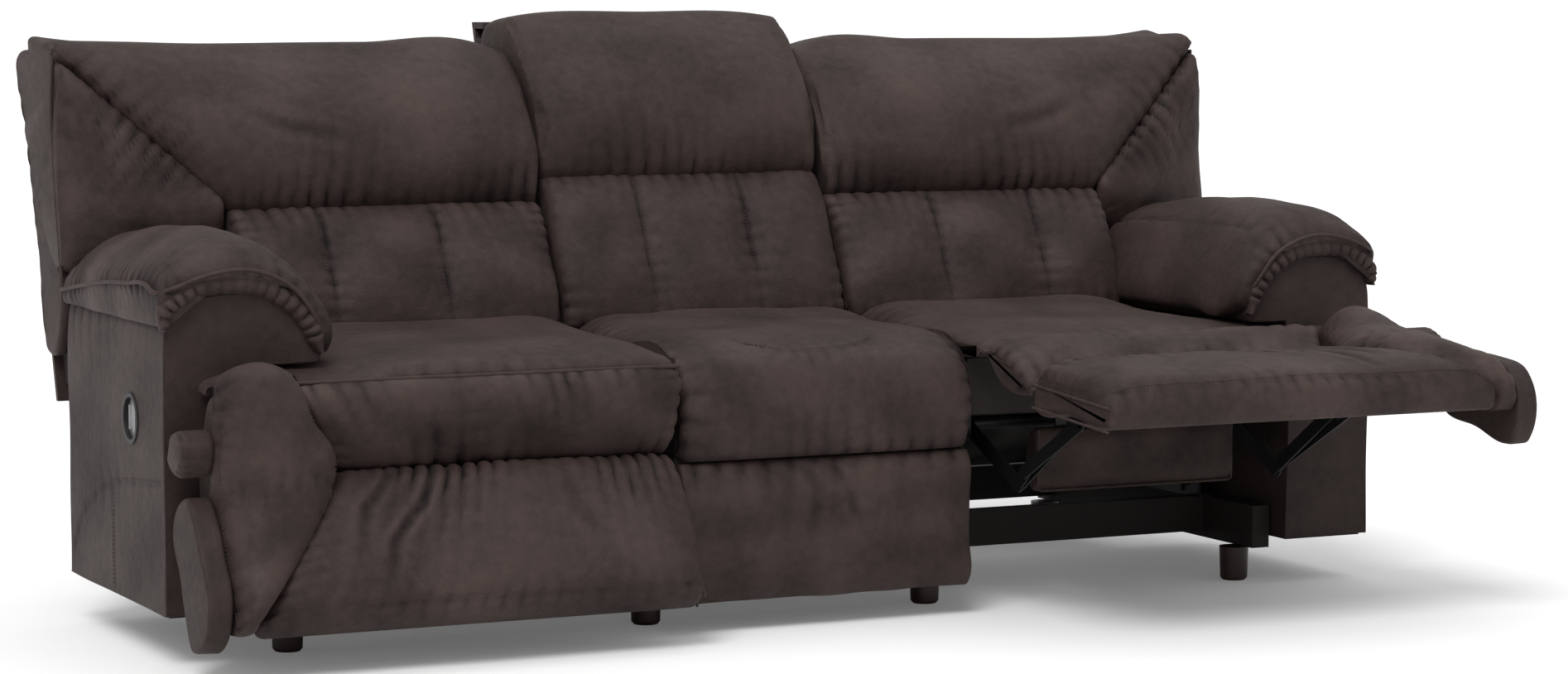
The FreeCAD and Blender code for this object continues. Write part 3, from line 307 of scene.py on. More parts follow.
# %% [markdown]
# A piece becomes a mesh only once its grid is final. The points go from sofa measures, in
# millimetres from the front of the arms, to the frame, the side decides which way x points,
# and the sign of the enclosed volume decides which way the faces turn.

# %% From grids to pieces
made = {}


def on_base(points):
    """Sofa measures to the frame, in metres."""
    out = np.asarray(points, float) * MM
    out[..., 1] += FRONT_Y
    return out


def on_link(points, hinge, angle):
    """Points (x, along, out) of a footrest part to the frame: along points down from level
    by the angle, towards the front, and out is square to it."""
    along = np.array([0, -math.cos(angle), -math.sin(angle)])
    out = np.array([0, -math.sin(angle), math.cos(angle)])
    p = np.asarray(points, float) * MM
    return (p[..., :1] * np.array([1.0, 0, 0]) + p[..., 1:2] * along + p[..., 2:3] * out
            + np.array([0, hinge[1], hinge[2]]))


def mesh_piece(name, points, faces, rise=None):
    """Object of points and faces with smooth shading, turned so that it encloses a positive
    volume: the sum of each face's first corner dotted with the cross product of the next."""
    mesh = bpy.data.meshes.new(name)
    mesh.from_pydata(points.tolist(), [], faces)
    mesh.update()
    quads = np.array([f[:3] for f in faces])
    a, b, c = (points[quads[:, k]] - points.mean(axis=0) for k in range(3))
    if (a * np.cross(b, c)).sum() < 0:
        mesh.flip_normals()
    mesh.polygons.foreach_set("use_smooth", np.ones(len(mesh.polygons), bool))
    mesh.set_sharp_from_angle(angle=math.radians(48))
    # The rise is the height of the fine folds; the leather colour is darkened by it in creases as
    # painted shade and lightened on ridges as painted highlight.
    if rise is not None:
        mesh.attributes.new("rise", "FLOAT", "POINT").data.foreach_set(
            "value", np.asarray(rise, np.float32).reshape(-1))
    piece = bpy.data.objects.new(name, mesh)
    bpy.context.scene.collection.objects.link(piece)
    made[name] = piece
    return piece


def cushion(name, grid, rise, place, body, nodes, slot="leather",
            caps=caps_of):
    """Closed cushion of a grid: quads, and one face at each end."""
    rows, columns = grid.shape[:2]
    points = place(grid).reshape(-1, 3)
    faces = faces_of(rows, columns).tolist() + caps(rows, columns)
    piece = mesh_piece(name, points, faces, rise)
    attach(piece, body)
    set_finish(piece, slot)
    if nodes:
        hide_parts(*nodes)
    return piece


def tube(name, path, radius, place, body, slot="leather", sides=8, straight=False):
    """Round cord along a path: at each point two unit vectors square to the path, turned
    through the circle and scaled by the radius."""
    path = np.asarray(path, float)
    dense = np.concatenate([[0], np.cumsum(np.linalg.norm(np.diff(path, axis=0), axis=1))])
    at = np.linspace(0, dense[-1], max(int(dense[-1] / 8), 4))
    if straight:
        path = np.stack([np.interp(at, dense, path[:, k]) for k in range(3)], axis=1)
    else:
        path = through(dense, path, at)
    run = np.gradient(path, axis=0)
    run /= np.linalg.norm(run, axis=1, keepdims=True)
    guide = np.array([0.31, 0.37, 0.87]) if abs(run[:, 2]).mean() < 0.8 else np.array([1.0, 0.2, 0])
    one = np.cross(run, guide)
    one /= np.linalg.norm(one, axis=1, keepdims=True)
    two = np.cross(run, one)
    turn = np.arange(sides) * 2 * math.pi / sides
    grid = (path[:, None] + radius * (np.cos(turn)[None, :, None] * one[:, None]
                                      + np.sin(turn)[None, :, None] * two[:, None]))
    # The fixed rise of 0.4 paints the cord a little lighter, as painted highlight on a raised welt.
    return cushion(name, grid, np.full(grid.shape[:2], 0.4), place, body, (), slot)


def on_skin(grid, line, lift=0.8):
    """Path on a cushion's skin: places along the line moved to the mean of their four nearest
    grid points, smoothed over three places and raised by the lift along the mean normal."""
    line = np.asarray(line, float)
    trail = np.concatenate([[0], np.cumsum(np.linalg.norm(np.diff(line, axis=0), axis=1))])
    place = through(trail, line, np.linspace(0, trail[-1], max(int(trail[-1] / 8), 4)))
    flat, normal = grid.reshape(-1, 3), outward(grid).reshape(-1, 3)
    gap = ((place[:, None] - flat[None]) ** 2).sum(axis=-1)
    near = np.argsort(gap, axis=1)[:, :4]
    skin = flat[near].mean(axis=1) + lift * normal[near].mean(axis=1)
    skin[1:-1] = (skin[:-2] + skin[1:-1] + skin[2:]) / 3
    return skin


def stitches(name, path, place, body, lift, pitch=7.0, long=4.6, wide=0.8):
    """Row of stitches along a path: six-sided beads, each a short box whose ends are drawn
    in, laid end to end with a gap and raised by the lift."""
    path = np.asarray(path, float)
    dense = np.concatenate([[0], np.cumsum(np.linalg.norm(np.diff(path, axis=0), axis=1))])
    count = max(int(dense[-1] / pitch), 2)
    at = (np.arange(count) + 0.5) * dense[-1] / count
    centre = through(dense, path, at)
    ahead, behind = (through(dense, path, np.clip(at + step, 0, dense[-1])) for step in (1, -1))
    run = ahead - behind
    run /= np.linalg.norm(run, axis=1, keepdims=True) + 1e-9
    lift = np.asarray(lift, float) / np.linalg.norm(lift)
    side = np.cross(run, lift)
    side /= np.linalg.norm(side, axis=1, keepdims=True) + 1e-9
    up = np.cross(side, run)
    shape = np.array([[-1, 0, 0.2], [-0.5, 1, 0.6], [0.5, 1, 0.6], [1, 0, 0.2], [0.5, -1, 0.6],
                      [-0.5, -1, 0.6], [0, 0, 1.4], [0, 0, -1.0]])
    points = (centre[:, None] + shape[None, :, :1] * run[:, None] * long * 0.5
              + shape[None, :, 1:2] * side[:, None] * wide
              + shape[None, :, 2:] * up[:, None] * wide)
    one = np.array([[6, k, (k + 1) % 6] for k in range(6)]
                   + [[7, (k + 1) % 6, k] for k in range(6)])
    faces = (np.arange(count)[:, None, None] * 8 + one[None]).reshape(-1, 3)
    # The fixed rise of 0.9 paints the stitches a little lighter, as painted highlight on raised beads.
    piece = mesh_piece(name, place(points).reshape(-1, 3), faces.tolist(), np.full(count * 8, 0.9))
    if body:
        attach(piece, body)
    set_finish(piece, "leather")
    return piece


def mirrored(points, side):
    """Points of the right side, or their mirror for the left."""
    flip = 1.0 if side == "right" else -1.0
    return np.asarray(points, float) * np.array([flip, 1.0, 1.0])


print("piece makers ready")

# %% [markdown]
# An outer seat is a boxed cushion between the arm and the middle seat, crowned along its
# middle, with a shallow seam set back from the nose. The wing root is the short block that
# carries the same line on in front of the arm.

# %% Outer seats
SEAT_COUNTS = (4, 6, 26, 6, 6, 30, 20, 8, 6)


def seat_keys(front, top):
    """Section (y, z) of a seat from its nose under the cushion, up the rear and over."""
    return [(front, 462), (front + 10, 455), (-30, 448), (462, 448), (476, 462),
            (464, top - 8), (190, top + 14), (-30, top + 4), (-76, top - 3)]


seat_rows = ((286, -11, 6), (326, -2, 1), (480, 2, 0), (640, 3, 0), (780, 0, 0),
             (852, -12, 0), (956, -16, 1))
seat = carried([r[0] for r in seat_rows], [seat_keys(-92 + r[2], 482 + r[1]) for r in seat_rows],
               SEAT_COUNTS, 286.5, 955.5, 16, 9)
edge = np.minimum(seat[..., 0] - 286, 956 - seat[..., 0])
upper = np.clip((seat[..., 2] - 466) / 14, 0, 1)
hold = np.where(upper * np.clip(edge / 60, 0, 1) > 0.5, 0.3, 1.0)
seat = filled(seat, hold, 8.0)
top_seam = np.array([(320, 100, 488), (362, 84, 488), (509, -28, 484), (610, -52, 480),
                     (694, -46, 480), (747, 30, 487), (780, 96, 488)], float)
normal = outward(seat)
fine = (groove(seat, top_seam, 5, 2.6) + gathers(seat, top_seam, 34, 2.0, 30, 3)
        + gathers(seat, [(286, -70, 478), (286, 460, 478)], 42, 3.2, 46, 5)
        + gathers(seat, [(956, 0, 466), (956, 460, 466)], 38, 3.0, 40, 7)
        + gathers(seat, [(300, -90, 466), (950, -90, 466)], 44, 3.4, 34, 9)
        + crease(seat, [(390, 120, 492), (520, 60, 490), (600, 20, 488)], 9, 2.2)
        + crease(seat, [(820, 200, 486), (700, 240, 494), (610, 250, 495)], 10, 1.8)
        + waves(seat, 170, 1.0, 11) * upper)
seat = seat + normal * (fine * upper)[..., None]
root_rows = ((957, -4, 0), (1020, -2, 1), (1062, -4, 3), (1096, -14, 10))


def root_keys(front, top):
    """Section (y, z) of the wing root."""
    return [(front, 460), (front + 6, 452), (-40, 443), (-8, 443), (-4, 452), (-4, top - 6),
            (-14, top), (-46, top - 2)]


root = carried([r[0] for r in root_rows], [root_keys(-68 + r[2], 476 + r[1]) for r in root_rows],
               (3, 4, 3, 2, 3, 3, 6, 8), 957, 1096, 14, 8)
root_fine = (waves(root, 60, 1.2, 13)
             + gathers(root, [(957, -68, 466), (1096, -60, 466)], 26, 2.4, 24, 15))
root = root + outward(root) * root_fine[..., None]
for side in ("left", "right"):
    cushion(side + "_seat_top", mirrored(seat, side), fine, on_base, side + "_seat",
            (side + "_seat_cushion",))
    cushion(side + "_seat_root", mirrored(root, side), root_fine, on_base, side + "_seat", ())
    stitches(side + "_seat_stitch", mirrored(top_seam[1:-1] + (0, 7, 0.4), side), on_base,
             side + "_seat", (0, 0, 1))
print("seats", seat.shape)

# %% [markdown]
# Each lumbar cushion is one cover with three stuffed channels. The channels are proud by
# about two fingers, and the seams between them pull the leather in, so the section is fuller
# at a channel's middle and drawn in at its seams.

# %% Lumbar cushions
LUMBAR_COUNTS = (10, 12, 12, 10, 8, 6, 6, 8, 6)


def lumbar_keys(bulge, draw, rise):
    """Section (y, z) of a lumbar cushion, with its bulge, draw at the ends, and rise."""
    lean = 0.42 * rise
    return [(409 + draw, 486 + 0.5 * draw), (421 - 0.5 * bulge + draw, 542 + 0.2 * rise),
            (456 - bulge + 0.5 * lean + draw, 612 + 0.5 * rise),
            (486 - 0.7 * bulge + 0.85 * lean + draw, 672 + 0.9 * rise),
            (512 + lean + draw, 704 + rise - 0.5 * draw), (590 + lean, 706 + rise),
            (690 + lean, 704 + rise), (640, 500), (520, 486)]


def lumbar(low, high, seams, rise, seed):
    """Lumbar cushion from its channels, filled, then gathered into every seam."""
    stops = [low] + list(seams) + [high]
    rows = [(low, 3, 6)]
    for start, end in zip(stops[:-1], stops[1:]):
        width = end - start
        rows += [(start + 0.25 * width, 23, 0), (start + 0.5 * width, 28, 0),
                 (start + 0.75 * width, 23, 0)]
        rows += [(end, 7, 1) if end < high else (end, 3, 6)]
    grid = carried([r[0] for r in rows], [lumbar_keys(r[1], r[2], rise) for r in rows],
                   LUMBAR_COUNTS, low, high, 14, 7.5)
    face = np.clip((600 - grid[..., 1]) / 40, 0, 1)
    near = np.min([np.abs(grid[..., 0] - s) for s in stops], axis=0)
    grid = filled(grid, np.where((face > 0.5) & (near > 12), 0.3, 1.0), 9.0)
    lines = [np.array([(s, 409, 486), (s, 428, 560), (s, 448, 620),
                       (s, 486 + 0.4 * rise, 680 + rise),
                       (s, 512 + 0.42 * rise, 706 + rise)], float) for s in seams]
    fine = waves(grid, 120, 1.1, seed) * face
    for k, line in enumerate(lines):
        fine += groove(grid, line, 5.5, 5.0) + gathers(grid, line, 30, 2.6, 26, seed + 2 * k)
    top = 706 + rise
    bend = [(low, 512 + 0.42 * rise, top), (high, 512 + 0.42 * rise, top)]
    foot = [(low, 410, 486), (high, 410, 486)]
    fine += gathers(grid, bend, 31, 4.6, 46, seed + 9) + gathers(grid, foot, 34, 4.0, 40, seed + 13)
    for end in (low, high):
        edge = [(end, 415, 500), (end, 450, 620), (end, 510, top)]
        fine += gathers(grid, edge, 30, 3.4, 30, seed + 17)
    return grid + outward(grid) * (fine * face)[..., None], fine


outer_lumbar, outer_fine = lumbar(287, 872, (497, 709), 0, 21)
middle_lumbar, middle_fine = lumbar(-278, 278, (-104, 104), 44, 41)
channel_stitch = np.array([(5, 415, 506), (5, 428, 560), (5, 448, 620), (5, 480, 676)], float)
for side in ("left", "right"):
    cushion(side + "_lumbar", mirrored(outer_lumbar, side), outer_fine, on_base, side + "_back",
            (side + "_lumbar_cushion",))
    for name, seam in (("inner", 497), ("outer", 709)):
        path = on_skin(outer_lumbar, channel_stitch + (seam, 0, 0))
        stitches(side + "_channel_" + name, mirrored(path, side), on_base, side + "_back",
                 (0, -1, 0.3))
cushion("centre_lumbar", middle_lumbar, middle_fine, on_base, "base", ("centre_lumbar_cushion",))
for name, seam in (("left", -109), ("right", 99)):
    path = on_skin(middle_lumbar, channel_stitch * (1, 1, 1.05) + (seam, 0, -24))
    stitches("centre_channel_" + name, path, on_base, "base", (0, -1, 0.3))
print("lumbars", outer_lumbar.shape, middle_lumbar.shape)

# %% [markdown]
# A head pillow hangs over the top of the back and ends at its lower seam. On the outer backs
# it is cut on a slant where the wing is sewn to it, so its lower edge climbs with the mitre.

# %% Head pillows
HEAD_COUNTS = (8, 12, 12, 10, 8, 8, 8, 10, 10)


def head_keys(top, bulge, bottom):
    """Section (y, z) of a head pillow from its lower seam over the top of the back."""
    low = 512 + 0.42 * (bottom - 708)
    tall = top - bottom
    high = low + 0.5 * tall
    rear = 672 + 0.3187 * (top - 14 - 370) - 60
    foot = 672 + 0.3187 * (bottom - 370) - 60
    return [(low + 2, bottom), (low + 0.05 * tall - 0.55 * bulge, bottom + 0.2 * tall),
            (low + 0.17 * tall - 0.85 * bulge, bottom + 0.5 * tall),
            (low + 0.36 * tall - 0.6 * bulge, bottom + 0.78 * tall),
            (high - 2, top - 0.07 * tall), (high + 0.13 * tall, top),
            (0.5 * (high + rear), top - 1), (rear, top - 0.05 * tall), (foot, bottom)]


def mitre_z(x):
    """Height of the slanted seam between head pillow and wing."""
    return 722 + (966 - 722) * (x - 877) / (1140 - 877)


def head(rows, low, high, radius, seed, lower):
    """Head pillow from its rows, filled, then gathered along its lower seam."""
    grid = carried([r[0] for r in rows], [head_keys(*r[1:]) for r in rows], HEAD_COUNTS,
                   low, high, radius, 8)
    face = np.clip((740 - grid[..., 1]) / 60, 0, 1)
    near, _ = near_line(grid, lower)
    grid = filled(grid, np.where((face > 0.5) & (near > 30), 0.3, 1.0), 8.0)
    fine = gathers(grid, lower, 33, 5.2, 60, seed) + gathers(grid, lower, 15, 1.6, 22, seed + 1)
    fine += waves(grid, 200, 1.6, seed + 2) * face
    return grid, fine, face


head_rows = [(287, 968, 16, 720), (330, 986, 36, 716), (560, 992, 46, 716), (780, 991, 44, 716),
             (872, 991, 38, 722)]
head_rows += [(x, 991 + 7 * ((x - 877) / 263) ** 2, b, mitre_z(x) + 3)
              for x, b in ((940, 34), (1010, 26), (1075, 17), (1146, 8))]
slant = np.array([(287, 514, 718), (600, 512, 716), (872, 514, 722), (1010, 570, 846),
                  (1134, 620, 962)], float)
outer_head, head_fine, face = head(head_rows, 287, 1147, 12, 51, slant)
head_fine += crease(outer_head, [(640, 500, 830), (760, 520, 850), (850, 560, 880)], 14, 3.0)
head_fine += crease(outer_head, [(980, 600, 900), (900, 560, 860), (860, 520, 790)], 12, 3.4)
outer_head = outer_head + outward(outer_head) * (head_fine * face)[..., None]
middle_rows = [(-278, 1034, 18, 762), (-232, 1041, 36, 758), (0, 1045, 48, 758),
               (232, 1041, 36, 758), (278, 1034, 18, 762)]
middle_slant = np.array([(-278, 534, 760), (0, 530, 758), (278, 534, 760)], float)
middle_head, middle_head_fine, face = head(middle_rows, -278, 278, 14, 61, middle_slant)
middle_head = middle_head + outward(middle_head) * (middle_head_fine * face)[..., None]
for side in ("left", "right"):
    cushion(side + "_head", mirrored(outer_head, side), head_fine, on_base, side + "_back",
            (side + "_head_pillow",))
cushion("centre_head", middle_head, middle_head_fine, on_base, "base", ("centre_head_pillow",))
print("heads", outer_head.shape, middle_head.shape)

# %% [markdown]
# The wing is the soft ear of the back, beside the head pillow and behind the arm. It is
# sewn to the pillow along the slanted seam, whose gathers spread across both, and its outer
# edge carries a welt down to the arm.

# %% Wings of the backs
WING_COUNTS = (8, 12, 10, 10, 8, 8)


def wing_keys(x, bulge):
    """Section (y, z) of a wing below the slanted seam."""
    top = mitre_z(x) - 2
    high = 512 + 0.42 * (top - 708)
    lean = (x - 877) / 263
    low = 560 + 20 * lean
    tall = top - 602
    return [(low, 602), (0.5 * (low + high) - bulge, 602 + 0.42 * tall), (high, top),
            (high + 0.45 * (690 - high), top - 2), (700 + 0.3 * (top - 640), top - 8), (690, 604)]


wing_x = (879, 905, 945, 1010, 1070, 1115, 1146)
wing = carried(wing_x, [wing_keys(x, b) for x, b in zip(wing_x, (12, 24, 32, 36, 30, 22, 12))],
               WING_COUNTS, 879, 1146, 16, 6)
face = np.clip((690 - wing[..., 1]) / 40, 0, 1)
near, _ = near_line(wing, slant)
wing = filled(wing, np.where((face > 0.5) & (near > 25), 0.3, 1.0), 8.0)
wing_fine = (gathers(wing, slant[2:], 28, 6.5, 70, 71)
             + gathers(wing, [(879, 575, 602), (1141, 580, 602)], 34, 4.5, 46, 73)
             + gathers(wing, [(1141, 600, 640), (1141, 640, 790), (1141, 625, 950)], 34, 3.5, 40, 75)
             + waves(wing, 110, 1.6, 77))
wing = wing + outward(wing) * (wing_fine * face)[..., None]
for side in ("left", "right"):
    cushion(side + "_wing", mirrored(wing, side), wing_fine, on_base, side + "_back",
            (side + "_wing_bolster",))
    welt = [(1149, 592, 590), (1150, 612, 700), (1150, 632, 800), (1150, 640, 880),
            (1148, 634, 968)]
    tube(side + "_wing_welt", mirrored(welt, side), 3.4, on_base, side + "_back")
print("wings", wing.shape)

# %% [markdown]
# The leather of an outer back runs on round its side to the rear edge, down behind the arm.

# %% Sides of the outer backs
side_rows = (1127, 1147)
side_keys = [(597, 575), (618, 640), (640, 760), (650, 880), (640, 975), (700, 990), (812, 982),
             (866, 976), (812, 810), (742, 590), (700, 456), (652, 452)]
flank = carried(side_rows, [side_keys] * 2, (6, 12, 12, 10, 6, 8, 6, 14, 18, 12, 5, 12), 1127, 1149,
                8, 5)
flank_fine = (gathers(flank, [(1147, 600, 575), (1147, 640, 760), (1147, 645, 975)], 36, 3.4, 70, 79)
              + gathers(flank, [(1147, 870, 980), (1147, 742, 590), (1147, 700, 456)], 44, 2.6, 50, 80)
              + waves(flank, 130, 1.6, 78))
flank = flank + outward(flank) * (flank_fine * np.clip((flank[..., 0] - 1138) / 6, 0, 1))[..., None]
for side in ("left", "right"):
    cushion(side + "_back_side", mirrored(flank, side), flank_fine, on_base, side + "_back", ())
print("sides", flank.shape)

# %% [markdown]
# The arm is a boarded shell with leather drawn over it, plain on the sides and rolled at the
# top. The outer cover has a curved seam and a short upright one, and a round opening for the
# release cup. The cover is open there, so those faces are left out and the points at the
# opening are moved onto its circle.

# %% Arm covers
ARM_COUNTS = (24, 4, 16, 5, 12, 14, 10, 8, 8, 38, 30)
ARM_BOTTOM = 20
arm_keys = [(972, 84), (971, 478), (968, 484), (890, 486), (884, 496), (926, 572), (1035, 602),
            (1112, 586), (1143, 552), (1149, 508), (1149.5, 312)]
arm_keys_end = arm_keys + [(1149.5, 84)]
arm = carried((0, 560), [arm_keys_end] * 2, ARM_COUNTS + (ARM_BOTTOM,), 0, 560, 2, 6, axis=1,
              soft=[0.0, 0.2, 0.0, 0.2, 1, 1, 1, 1, 1, 0.2, 0.2, 0.0])
curve = np.array([(1150, 534, 131), (1150, 478, 195), (1150, 374, 250), (1150, 225, 278),
                  (1150, 14, 296)], float)
upright = np.array([(1150, 284, 262), (1150, 284, 98)], float)
arm_fine = (groove(arm, curve, 4, 1.8) + groove(arm, upright, 4, 1.8)
            + gathers(arm, curve, 52, 1.2, 30, 81) + waves(arm, 240, 1.3, 83)
            + gathers(arm, [(1150, 0, 552), (1150, 560, 552)], 46, 2.0, 60, 85))
outer = np.clip((arm[..., 0] - 1120) / 20, 0, 1)
CUP_Y, CUP_Z, CUP_HOLE, CUP_REACH = 181.0, 388.0, 40.0, 4.6
gap = np.hypot(arm[..., 1] - CUP_Y, arm[..., 2] - CUP_Z)
arm = arm + outward(arm) * (arm_fine * outer * 0.8 * np.clip((gap - 46) / 40, 0, 1))[..., None]
ring = (np.abs(gap - CUP_HOLE) < CUP_REACH) & (outer > 0.5)
arm[..., 1] = np.where(ring, CUP_Y + (arm[..., 1] - CUP_Y) * CUP_HOLE / gap, arm[..., 1])
arm[..., 2] = np.where(ring, CUP_Z + (arm[..., 2] - CUP_Z) * CUP_HOLE / gap, arm[..., 2])
inside = ((gap <= CUP_HOLE - CUP_REACH) & (outer > 0.5)).reshape(-1)


def end_board(ring):
    """Flat end of the arm: at each height a row from its inner to its outer edge."""
    top = ring[:, 2].argmax()
    inner, rest = ring[:top + 1], ring[top:len(ring) - ARM_BOTTOM][::-1]
    levels = np.concatenate([np.linspace(84, 477, 40), np.linspace(478, 489, 10),
                             np.linspace(491, ring[top, 2] - 0.5, 28)])
    low = np.interp(levels, np.maximum.accumulate(inner[:, 2]), inner[:, 0])
    high = np.interp(levels, np.maximum.accumulate(rest[:, 2]), rest[:, 0])
    x = low[:, None] + np.linspace(0, 1, 24) * (high - low)[:, None]
    height = np.repeat(levels[:, None], 24, axis=1)
    return np.stack([x, np.full_like(x, ring[0, 1]), height], axis=-1)


def arm_cover(side):
    """Arm cover of one side with its two flat ends, without the faces in the cup's opening."""
    rows, columns = arm.shape[:2]
    quads = faces_of(rows, columns)
    quads = quads[~inside[quads].any(axis=1)]
    points, faces, rise = [arm.reshape(-1, 3)], quads.tolist(), [arm_fine.reshape(-1)]
    for row, turn in ((0, 1), (-1, -1)):
        board = end_board(arm[row])
        index = np.arange(board[..., 0].size).reshape(board.shape[:2]) + sum(map(len, points))
        corners = np.stack([index[:-1, :-1], index[:-1, 1:], index[1:, 1:], index[1:, :-1]],
                           axis=-1)
        faces += corners.reshape(-1, 4)[:, ::turn].tolist()
        points.append(board.reshape(-1, 3))
        rise.append(np.zeros(index.size))
    piece = mesh_piece(side + "_arm_skin", on_base(mirrored(np.concatenate(points), side)), faces,
                       np.concatenate(rise))
    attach(piece, "base")
    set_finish(piece, "leather_panel")
    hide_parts(side + "_arm_cover")
    return piece


for side in ("left", "right"):
    arm_cover(side)
    for name, line, shift in (("curve", curve, (2, 0, 5)), ("upright", upright, (2, 5, 0))):
        stitches(side + "_arm_" + name, mirrored(line + shift, side), on_base, "base",
                 (1 if side == "right" else -1, 0, 0))
print("arms", arm.shape)

# %% [markdown]
# The arm pad is a pillow draped over the roll. Its outer seam is pinched to a lip that runs
# low at the back and high at the front, with short gathers above and below it.

# %% Arm pads
PAD_COUNTS = (10, 10, 5, 5, 5, 5, 10, 12, 12, 10, 5)


def pad_keys(swell, lip, tip):
    """Section (x, z) of an arm pad: under the pillow, out to the lip, and over the top."""
    return [(890, 500), (930, 578), (1035, 606), (1112, 592), (1151, 550), (1157, lip - 24),
            (1160, lip), (1120, 0.5 * (lip + 687) + 14 + 0.5 * swell), (1010, 689 + swell),
            (915, 640 + 0.5 * swell), (869, tip)]


pad_rows = ((-10, -40, 606, 520), (30, -12, 614, 500), (150, 6, 613, 497), (300, 4, 604, 497),
            (440, -1, 588, 497), (556, -16, 574, 502))
pad = carried([r[0] for r in pad_rows], [pad_keys(*r[1:]) for r in pad_rows], PAD_COUNTS, -14, 556,
              20, 8, axis=1)
face = np.clip((pad[..., 2] - 590) / 20, 0, 1)
lip = np.array([(1160, y, z) for y, z in ((6, 616), (40, 616), (150, 613), (300, 604), (440, 588),
                                         (550, 574))], float)
near, _ = near_line(pad, lip)
pad = filled(pad, np.where((face > 0.5) & (near > 25), 0.3, 1.0), 6.0)
front_lip = np.array([(1158, 8, 606), (1140, -12, 612), (1085, -20, 632), (1010, -22, 640),
                      (940, -19, 612), (893, -12, 552), (876, 8, 516)], float)
inner_seam = np.array([(930, 20, 655), (925, 200, 660), (925, 400, 655), (930, 540, 640)], float)
pad_fine = (gathers(pad, lip, 25, 5.5, 42, 91) + gathers(pad, lip, 11, 1.6, 16, 92)
            + gathers(pad, front_lip, 24, 4.5, 40, 93) + groove(pad, inner_seam, 5, 2.8)
            + gathers(pad, inner_seam, 40, 1.8, 24, 95)
            + gathers(pad, [(869, 0, 505), (869, 550, 505)], 36, 2.4, 40, 97)
            + gathers(pad, [(900, 556, 560), (1010, 556, 670), (1150, 556, 590)], 32, 3.0, 40, 98)
            + waves(pad, 130, 1.6, 99))
pad = pad + outward(pad) * (pad_fine * np.maximum(face, 0.35))[..., None]
arch = np.array([(1150, 545), (1144, 575), (1112, 600), (1035, 618), (955, 597), (905, 550),
                 (886, 500)], float)
trail = np.concatenate([[0], np.cumsum(np.linalg.norm(np.diff(arch, axis=0), axis=1))])
arch = through(trail, arch, np.linspace(0, trail[-1], 90))
run = np.gradient(arch, axis=0)
run /= np.linalg.norm(run, axis=1, keepdims=True)
square = np.stack([-run[:, 1], run[:, 0]], axis=1)
turn = np.arange(28) * 2 * math.pi / 28
taper = np.clip(np.sin(np.linspace(0.12, math.pi - 0.12, 90)) * 3.0, 0.25, 1)[:, None]
radial = 16 * taper * np.cos(turn)[None]
boxing = np.stack([arch[:, :1] + square[:, :1] * radial,
                   np.broadcast_to(-3 + 15 * np.sin(turn)[None], (90, 28)),
                   arch[:, 1:] + square[:, 1:] * radial], axis=-1)
boxing_line = np.stack([arch[:, 0], np.full(90, -18.0), arch[:, 1]], axis=1)[::6]
boxing_fine = gathers(boxing, boxing_line, 19, 4.5, 40, 191) + waves(boxing, 50, 0.8, 193)
boxing = boxing + outward(boxing) * boxing_fine[..., None]
for side in ("left", "right"):
    cushion(side + "_arm_pillow", mirrored(pad, side), pad_fine, on_base, "base",
            (side + "_arm_pad",), caps=crescent_caps)
    whole_lip = np.concatenate([lip[:0:-1] + (2, 0, 0), front_lip])
    tube(side + "_arm_lip", mirrored(whole_lip, side), 3.8, on_base, "base")
    cushion(side + "_arm_boxing", mirrored(boxing, side), boxing_fine, on_base, "base", ())
    stitches(side + "_arm_stitch", mirrored(inner_seam + (0, 0, 0.5), side), on_base, "base",
             (-0.3 if side == "right" else 0.3, 0, 1))
print("arm pads", pad.shape)

# %% [markdown]
# The middle seat doesn't move. Its cushion rolls over the front in one long curve down to
# the lower panel, which ends in a stitched hem just above the floor.

# %% Centre seat
CENTRE_COUNTS = (10, 4, 24, 5, 6, 20, 12, 10, 12, 12, 8, 8)


def centre_keys(draw, top):
    """Section (y, z) of the centre seat with its front roll."""
    front = -64 + draw
    return [(-50, 294), (-50, 430), (-30, 447), (462, 447), (476, 462), (464, top - 8),
            (210, top + 14), (0, top + 2), (front - 2, top - 26), (front - 26, 404),
            (front - 26, 340), (front - 4, 296)]


centre_rows = ((-277, 9, 470), (-240, 1, 480), (-120, -2, 484), (0, -2, 486), (120, -2, 484),
               (240, 1, 480), (277, 9, 470))
centre = carried([r[0] for r in centre_rows], [centre_keys(*r[1:]) for r in centre_rows],
                 CENTRE_COUNTS, -277, 277, 16, 8)
front_face = np.clip((centre[..., 2] - 300) / 20, 0, 1)
edge = 277 - np.abs(centre[..., 0])
skin = ((centre[..., 2] > 470) | (centre[..., 1] < -54)) & (edge > 30)
centre = filled(centre, np.where(skin, 0.3, 1.0), 9.0)
centre_seam = np.array([(-162, 70, 490), (-132, 0, 486), (-69, -48, 478), (15, -52, 477),
                        (80, -30, 482), (130, 10, 487)], float)
centre_fine = (groove(centre, centre_seam, 5, 2.8) + gathers(centre, centre_seam, 30, 2.4, 34, 101)
               + gathers(centre, [(-277, -86, 300), (-277, -90, 400), (-277, 0, 480), (-277, 460, 480)],
                         38, 4.0, 44, 103)
               + gathers(centre, [(277, -86, 300), (277, -90, 400), (277, 0, 480), (277, 460, 480)],
                         38, 4.0, 44, 105)
               + gathers(centre, [(-277, -74, 296), (277, -74, 296)], 40, 6.0, 60, 107)
               + gathers(centre, [(20, -90, 380), (40, -74, 296)], 20, 3.0, 40, 109)
               + waves(centre, 170, 1.4, 111))
centre = centre + outward(centre) * (centre_fine * front_face)[..., None]
cushion("centre_seat_top", centre, centre_fine, on_base, "base", ("centre_seat_cushion",))
